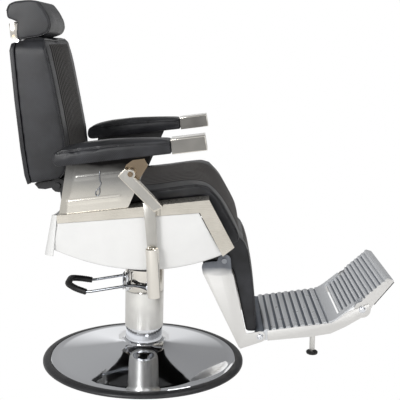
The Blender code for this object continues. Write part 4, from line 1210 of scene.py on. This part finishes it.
def lever():
    """Recline lever: a folded channel bar, a flat stem behind it and a tube grip."""
    outer, inner = -0.3710, -PLATE_X - 0.0075
    bar = [(0.0500, 0.6625), (-0.0495, 0.5650), (-0.0520, 0.5655), (-0.0725, 0.5775),
           (-0.0730, 0.5820), (0.0030, 0.6590)]
    bar += arc(LEVER_AXIS, 0.0135, 225, -170, 9)
    bar += [(0.0310, 0.6830)]
    channel = slab("recline_bar", bar, outer, inner, 0.0016, 3)
    groove_line = [(0.0465, 0.6618), (-0.0495, 0.5690), (-0.0690, 0.5800), (0.0060, 0.6570),
                   *arc(LEVER_AXIS, 0.0108, 225, -170, 9), (0.0312, 0.6785)]
    cut(channel, slab("web_recess", groove_line, outer - 0.002, outer + 0.0012))
    stem = [(-0.0190, 0.5900), (-0.0530, 0.5900), (-0.0590, 0.4645), (-0.0325, 0.4645)]
    flat = slab("stem", stem, outer + 0.0030, outer + 0.0085, 0.0008)
    cut(channel, flat, "UNION")
    cut(channel, rod("bore", (-0.39, *LEVER_AXIS), (-0.33, *LEVER_AXIS), 0.0053))
    dress(smooth(channel), SHEET, "lever", "stainless", "recline_lever")
    finish_faces(channel, LEVER_WEB,
                 lambda face: face.normal.x < -0.9 and face.center.x > outer + 0.0008)

    top, low, lean = 0.4620, 0.3230, 0.0090
    length = sqrt((top - low) ** 2 + lean ** 2)
    grip = [(0.0, length - 0.0040), (0.0158, length - 0.0040), (0.0160, length - 0.0004),
            (0.0165, length), (0.0176, length), (0.0183, length - 0.0008),
            (0.0183, length - 0.0030), (0.0183, 0.0020), (0.0176, 0.0004), (0.0165, 0.0),
            (0.0160, 0.0004), (0.0158, 0.0040), (0.0, 0.0040)]
    handle = aim(turned("recline_handgrip", grip, 64), (-0.3665, -0.0546, low),
                 (0.0, lean, top - low))
    smooth(handle, 25)
    dress(handle, BRIGHT, "lever", "chrome", "recline_grip")

    pin = dome_bolt("lever_bolt", (-0.3700, *LEVER_AXIS), (-1, 0, 0), 0.0062, 0.0030)
    # The lever bolt carries the painted brown reflection.
    dress(pin, BROWN_REFLECTION_CHROME, "swivel", "chrome")


# ---------------------------------------------------------------- legrest and footrest
def legrest_plates():
    """Side plates of the legrest, with the shelf and back panel between them."""
    shape = [(-0.1870, 0.3440), (-0.1835, 0.3620), (-0.1842, 0.3690), (-0.1868, 0.3745),
             (-0.1930, 0.3790), (-0.2280, 0.3830)]
    shape += arc((-0.250, 0.385), 0.0200, 0, 180, 15)
    shape += [(-0.2735, 0.3500), (-0.2790, 0.3400), (-0.3220, 0.1620), (-0.3260, 0.1580)]
    shape += arc(FOOT_AXIS, 0.0170, 90, 160, 11)
    shape += [(-0.3080, 0.1100), (-0.3020, 0.1160)]
    plate = slab("legrest_side_right", shape, -LEG_X, -LEG_X + LEG_WALL, 0.0006)
    # The legrest plates carry a painted reflection, darker towards their top.
    pair_of(plate, LEG_SHEET_PAINTED_REFLECTION, "legrest", "stainless", "legrest_plate_right")
    top = [(-0.1890, 0.3450), (-0.1890, 0.3420), (-0.2560, 0.3455), (-0.2560, 0.3485)]
    shelf = slab("legrest_shelf", top, -LEG_INSIDE, LEG_INSIDE, 0.0008)
    # The shelf takes the pale finish with painted light.
    dress(shelf, PALE_SHEET_PAINTED_LIGHT, "legrest", "chrome", "legrest_top_plate")
    web = [(-0.2330, 0.3400), (-0.3110, 0.1260), (-0.3145, 0.1250), (-0.2360, 0.3410)]
    backing = slab("legrest_backing", web, -LEG_INSIDE, LEG_INSIDE, 0.0008)
    dress(backing, SHEET, "legrest", "stainless", "legrest_back_panel")


def directions(start, end):
    """Along a side line that runs forwards, and up out of it."""
    along = (Vector(end) - Vector(start)).normalized()
    return along, Vector((along.y, -along.x))


def fluted_line(start, end, count, height):
    """Half-round ribs with narrow flats between them, along a side outline."""
    along, up = directions(start, end)
    pitch = (Vector(end) - Vector(start)).length / count
    line = []
    for i in range(count):
        for t in (0.06, 0.10, 0.17, 0.27, 0.39, 0.50, 0.61, 0.73, 0.83, 0.90, 0.94):
            across = (t - 0.5) / 0.40
            lift = height * sqrt(max(0.0, 1 - min(1.0, abs(across)) ** 2.2))
            line.append(tuple(Vector(start) + along * pitch * (i + t) - up * (height - lift)))
    return line


def footrest():
    """Cast platform between two side plates, its ribs' crests polished, on a floor foot."""
    start, bend = (-0.3740, 0.1722), (-0.5700, 0.2035)
    crest = fluted_line(start, bend, 9, 0.0060)
    nose = arc(FOOT_AXIS, 0.0140, 100, -70, 6) + arc(FOOT_AXIS, 0.0174, 25, 75, 9)
    tongue = [(-0.5720, 0.2043), (-0.5800, 0.2058), (-0.5985, 0.2178), (-0.6475, 0.2602),
              (-0.6440, 0.2535), (-0.6000, 0.2110), (-0.5800, 0.1970)]
    platform = slab("footrest_deck", [(-0.3780, 0.1640)] + nose + crest + tongue,
                    -LEG_INSIDE, LEG_INSIDE)
    deselect()
    bpy.ops.mesh.primitive_cube_add(size=1.0, location=(0, -0.6505, 0.225),
                                    scale=(0.298, 0.099, 0.150))
    cut(platform, settle(named("opening")))
    lug = arc(FOOT_AXIS, 0.0150, -90, 180, 13)
    lug += [(-0.3900, 0.1700), (-0.4600, 0.1800), (-0.4600, 0.1560)]
    for sign, _ in SIDES:
        cheek = slab("cheek", lug, sign * (LEG_INSIDE - 0.0004), sign * (LEG_INSIDE - 0.0044))
        cut(platform, cheek, "UNION")
    _, up = directions(start, bend)

    # Faces down between the ribs take the darker finish: as-cast skin and painted shade.
    def valley_as_cast_and_shade(face):
        depth = (face.center.yz - Vector(start)).dot(up)
        return depth < -0.0030 and face.normal.z > 0.2 and face.center.y > tongue[0][0]

    dress(smooth(platform, 30), RIB_CREST, "footrest", "cast_aluminium", "foot_platform")
    finish_faces(platform, RIB_VALLEY_AS_CAST_AND_SHADE, valley_as_cast_and_shade)

    rail = [(-0.3880, 0.1700), (-0.3890, 0.1385), (-0.5190, 0.1550), (-0.5790, 0.1670),
            (-0.6230, 0.1900), (-0.6690, 0.2200)]
    rail += arc(FLAP_AXIS, 0.0255, -60, -165, 11)[1:]
    rail += [(-0.6200, 0.2330), (-0.5980, 0.2120), (-0.5800, 0.2005), (-0.4870, 0.1865)]
    side = slab("footrest_rail_right", rail, -LEG_X, -LEG_X + LEG_WALL, 0.0006)
    # The footrest rails carry the same painted reflection finish.
    pair_of(side, LEG_SHEET_PAINTED_REFLECTION, "footrest", "stainless", "foot_rail_right")

    foot = [(0.0, 0.0112), (0.0100, 0.0112), (0.0120, 0.0104), (0.0165, 0.0100),
            (0.0186, 0.0082), (0.0190, 0.0050), (0.0180, 0.0015), (0.0165, 0.0004),
            (0.0, 0.0)]
    pad = turned("footrest_floor_pad", foot, 48)
    pad = aim(pad, (0.0, -0.5502, 0.0325), (0, 0, 1))
    dress(pad, SOFT_RUBBER, "footrest", "black_rubber", "foot_pad")
    post = rod("footrest_post", (0.0, -0.5500, 0.0440), (0.0, -0.5480, 0.1900), 0.0088, 40,
               0.0008)
    dress(post, TUBE_STEEL, "footrest", "stainless", "foot_post")
    for axis, label, node in ((FOOT_AXIS, "hinge", "foot_shaft"),
                              (FLAP_AXIS, "flap", "flap_shaft")):
        end = LEG_X + 0.0005
        shaft = rod(f"footrest_{label}_shaft", (-end, *axis), (end, *axis), 0.0060)
        dress(shaft, CHROME, "footrest", "chrome", node)
        for sign, side in SIDES:
            bolt = dome_bolt(f"footrest_{label}_bolt_{side}", (sign * (LEG_X + 0.0004), *axis),
                             (sign, 0, 0), 0.0088, 0.0042)
            dress(bolt, CHROME, "footrest", "chrome")


def flap():
    """Cast flap beyond the platform, with side wings on the pivot and a rubber edge."""
    low, high = (-0.6060, 0.2215), (-0.7300, 0.3350)
    crest = fluted_line(low, high, 11, 0.0044)
    under = [(-0.7345, 0.3400), (-0.7400, 0.3440), (-0.7580, 0.3390), (-0.7585, 0.3350),
             (-0.6930, 0.2740), (-0.6100, 0.2130)]
    board = slab("footrest_flap", crest + under, -LEG_INSIDE + 0.0012, LEG_INSIDE - 0.0012)
    clear = [(-0.5800, 0.1500), (-0.5800, 0.3500), (-0.6100, 0.3500), (-0.6700, 0.2900),
             (-0.6690, 0.2600), (-0.6400, 0.2200), (-0.6200, 0.1500)]
    wing = arc(FLAP_AXIS, 0.0240, -130, 210, 13)
    wing += [(-0.6850, 0.2905), (-0.7390, 0.3405), (-0.7590, 0.3375), (-0.7595, 0.3345),
             (-0.7010, 0.2570)]
    for sign, _ in SIDES:
        cut(board, slab("room", clear, sign * 0.1475, sign * 0.2))
        cut(board, slab("wing", wing, sign * (LEG_INSIDE - 0.0005), sign * (LEG_INSIDE - 0.0035)),
            "UNION")
    along, up = directions(low, high)
    length = (Vector(high) - Vector(low)).length

    # Faces down between the ribs take the darker finish: as-cast skin and painted shade.
    def valley_as_cast_and_shade(face):
        spot = face.center.yz - Vector(low)
        ribbed = 0 < spot.dot(along) < length and abs(face.normal.x) < 0.5
        return ribbed and spot.dot(up) < -0.0028 and face.normal.z > 0.1

    dress(smooth(board, 30), RIB_CREST, "flap", "cast_aluminium", "flap_panel")
    finish_faces(board, RIB_VALLEY_AS_CAST_AND_SHADE, valley_as_cast_and_shade)
    # The flap's side wings take the painted reflection finish of the side plates.
    finish_faces(board, LEG_SHEET_PAINTED_REFLECTION,
                 lambda face: abs(face.normal.x) > 0.9 and abs(face.center.x) > 0.17)
    strip = [(-0.7599, 0.3320), (-0.7625, 0.3300), (-0.7075, 0.2580), (-0.7045, 0.2605)]
    bumper = slab("flap_bumper", strip, -0.172, 0.172, 0.0007)
    dress(bumper, SOFT_RUBBER, "flap", "black_rubber", "flap_rubber")


def carried_over():
    """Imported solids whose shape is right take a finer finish."""
    finishes = {
        "base_plate": PAINTED, "guide_tube": CHROME, "ram_rod": CHROME, "oil_cylinder": PAINTED,
        "top_plate": PAINTED, "swivel_plate": PAINTED, "seat_frame": PAINTED,
        "back_frame": PAINTED, "recline_cylinder": PAINTED, "back_hinge_shaft": PAINTED,
        "legrest_pin_right": WIRE, "legrest_pin_left": WIRE, "seat_board": PLYWOOD,
        # The lever bracket and pin carry the painted brown reflection.
        "lever_bracket": BROWN_REFLECTION_CHROME, "lever_pin": BROWN_REFLECTION_CHROME, "headrest_guide": CHROME,
        "headrest_bar": CHROME, "recline_rod": CHROME,
    }
    for node, finish in finishes.items():
        nodes[node].data.materials.clear()
        nodes[node].data.materials.append(finish)


# ---------------------------------------------------------------- studio
def studio():
    """A white sweep as the camera sees it; the light is a grey room, brighter behind the back."""
    scene = bpy.context.scene
    scene.view_settings.view_transform = "Standard"
    world = bpy.data.worlds.new("studio")
    scene.world = world
    world.use_nodes = True
    tree = world.node_tree
    backdrop = tree.nodes["Background"]
    way = add_node(tree, "ShaderNodeTexCoord").outputs["Generated"]
    split = add_node(tree, "ShaderNodeSeparateXYZ", Vector=way)
    height = add_node(tree, "ShaderNodeMapRange", Value=split.outputs["Z"], From_Min=0.08,
                      From_Max=0.26, To_Min=1.0, To_Max=0.42).outputs["Result"]
    side = add_node(tree, "ShaderNodeMapRange", Value=split.outputs["Y"], From_Min=-0.8,
                    From_Max=0.3, To_Min=0.28, To_Max=1.0).outputs["Result"]
    room = add_node(tree, "ShaderNodeMath", {"operation": "MULTIPLY"}, in0=height, in1=side)
    seen = add_node(tree, "ShaderNodeLightPath").outputs["Is Camera Ray"]
    level = add_node(tree, "ShaderNodeMath", {"operation": "MAXIMUM"}, in0=room.outputs[0],
                     in1=seen).outputs[0]
    feed(tree, backdrop, Strength=level, Color="#ffffff")

    deselect()
    bpy.ops.mesh.primitive_plane_add(size=60.0, location=(0, 0, -0.0002))
    floor = named("studio_floor")
    floor.data.materials.append(blank("pale_floor", "#d8d8d8", Roughness=0.8,
                                      Emission_Color=(1.0, 0.99, 0.97, 1.0),
                                      Emission_Strength=0.36)[0])
    floor.visible_camera = False

    def lamp(name, place, aim_at, size, power):
        deselect()
        bpy.ops.object.light_add(type="AREA", location=place)
        light = named(name)
        light.data.shape = "RECTANGLE"
        light.data.size, light.data.size_y = size
        light.data.energy = power
        toward = Vector(aim_at) - Vector(place)
        light.rotation_euler = toward.to_track_quat("-Z", "Y").to_euler()

    lamp("key_softbox", (-3.2, 1.4, 1.7), (0, 0.1, 0.8), (1.0, 1.5), 62)
    lamp("fill_softbox", (-3.2, -1.6, 1.2), (0, -0.2, 0.5), (1.4, 1.4), 14)
    lamp("top_softbox", (-0.5, -1.3, 2.4), (0, -0.6, 0.2), (0.9, 0.9), 12)

    deselect()
    bpy.ops.object.camera_add(location=(-2.602, -0.1923, 1.0268))
    camera = named("camera")
    camera.data.sensor_width = 36.0
    camera.data.lens = 75.34
    pan, tilt, roll = -89.537, 79.251, 1.527
    turn = (Matrix.Rotation(radians(pan), 4, "Z") @ Matrix.Rotation(radians(tilt), 4, "X")
            @ Matrix.Rotation(radians(roll), 4, "Z"))
    camera.matrix_world = Matrix.Translation(camera.location) @ turn
    scene.camera = camera


studio()
base()
column()
pump()
pump_linkage()
seat()
back()
headrest()
legrest_pad()
arm_pads()
arm_caps()
arm_plates()
towel_hook()
rails()
skirts()
lever()
legrest_plates()
footrest()
flap()
carried_over()
deselect()
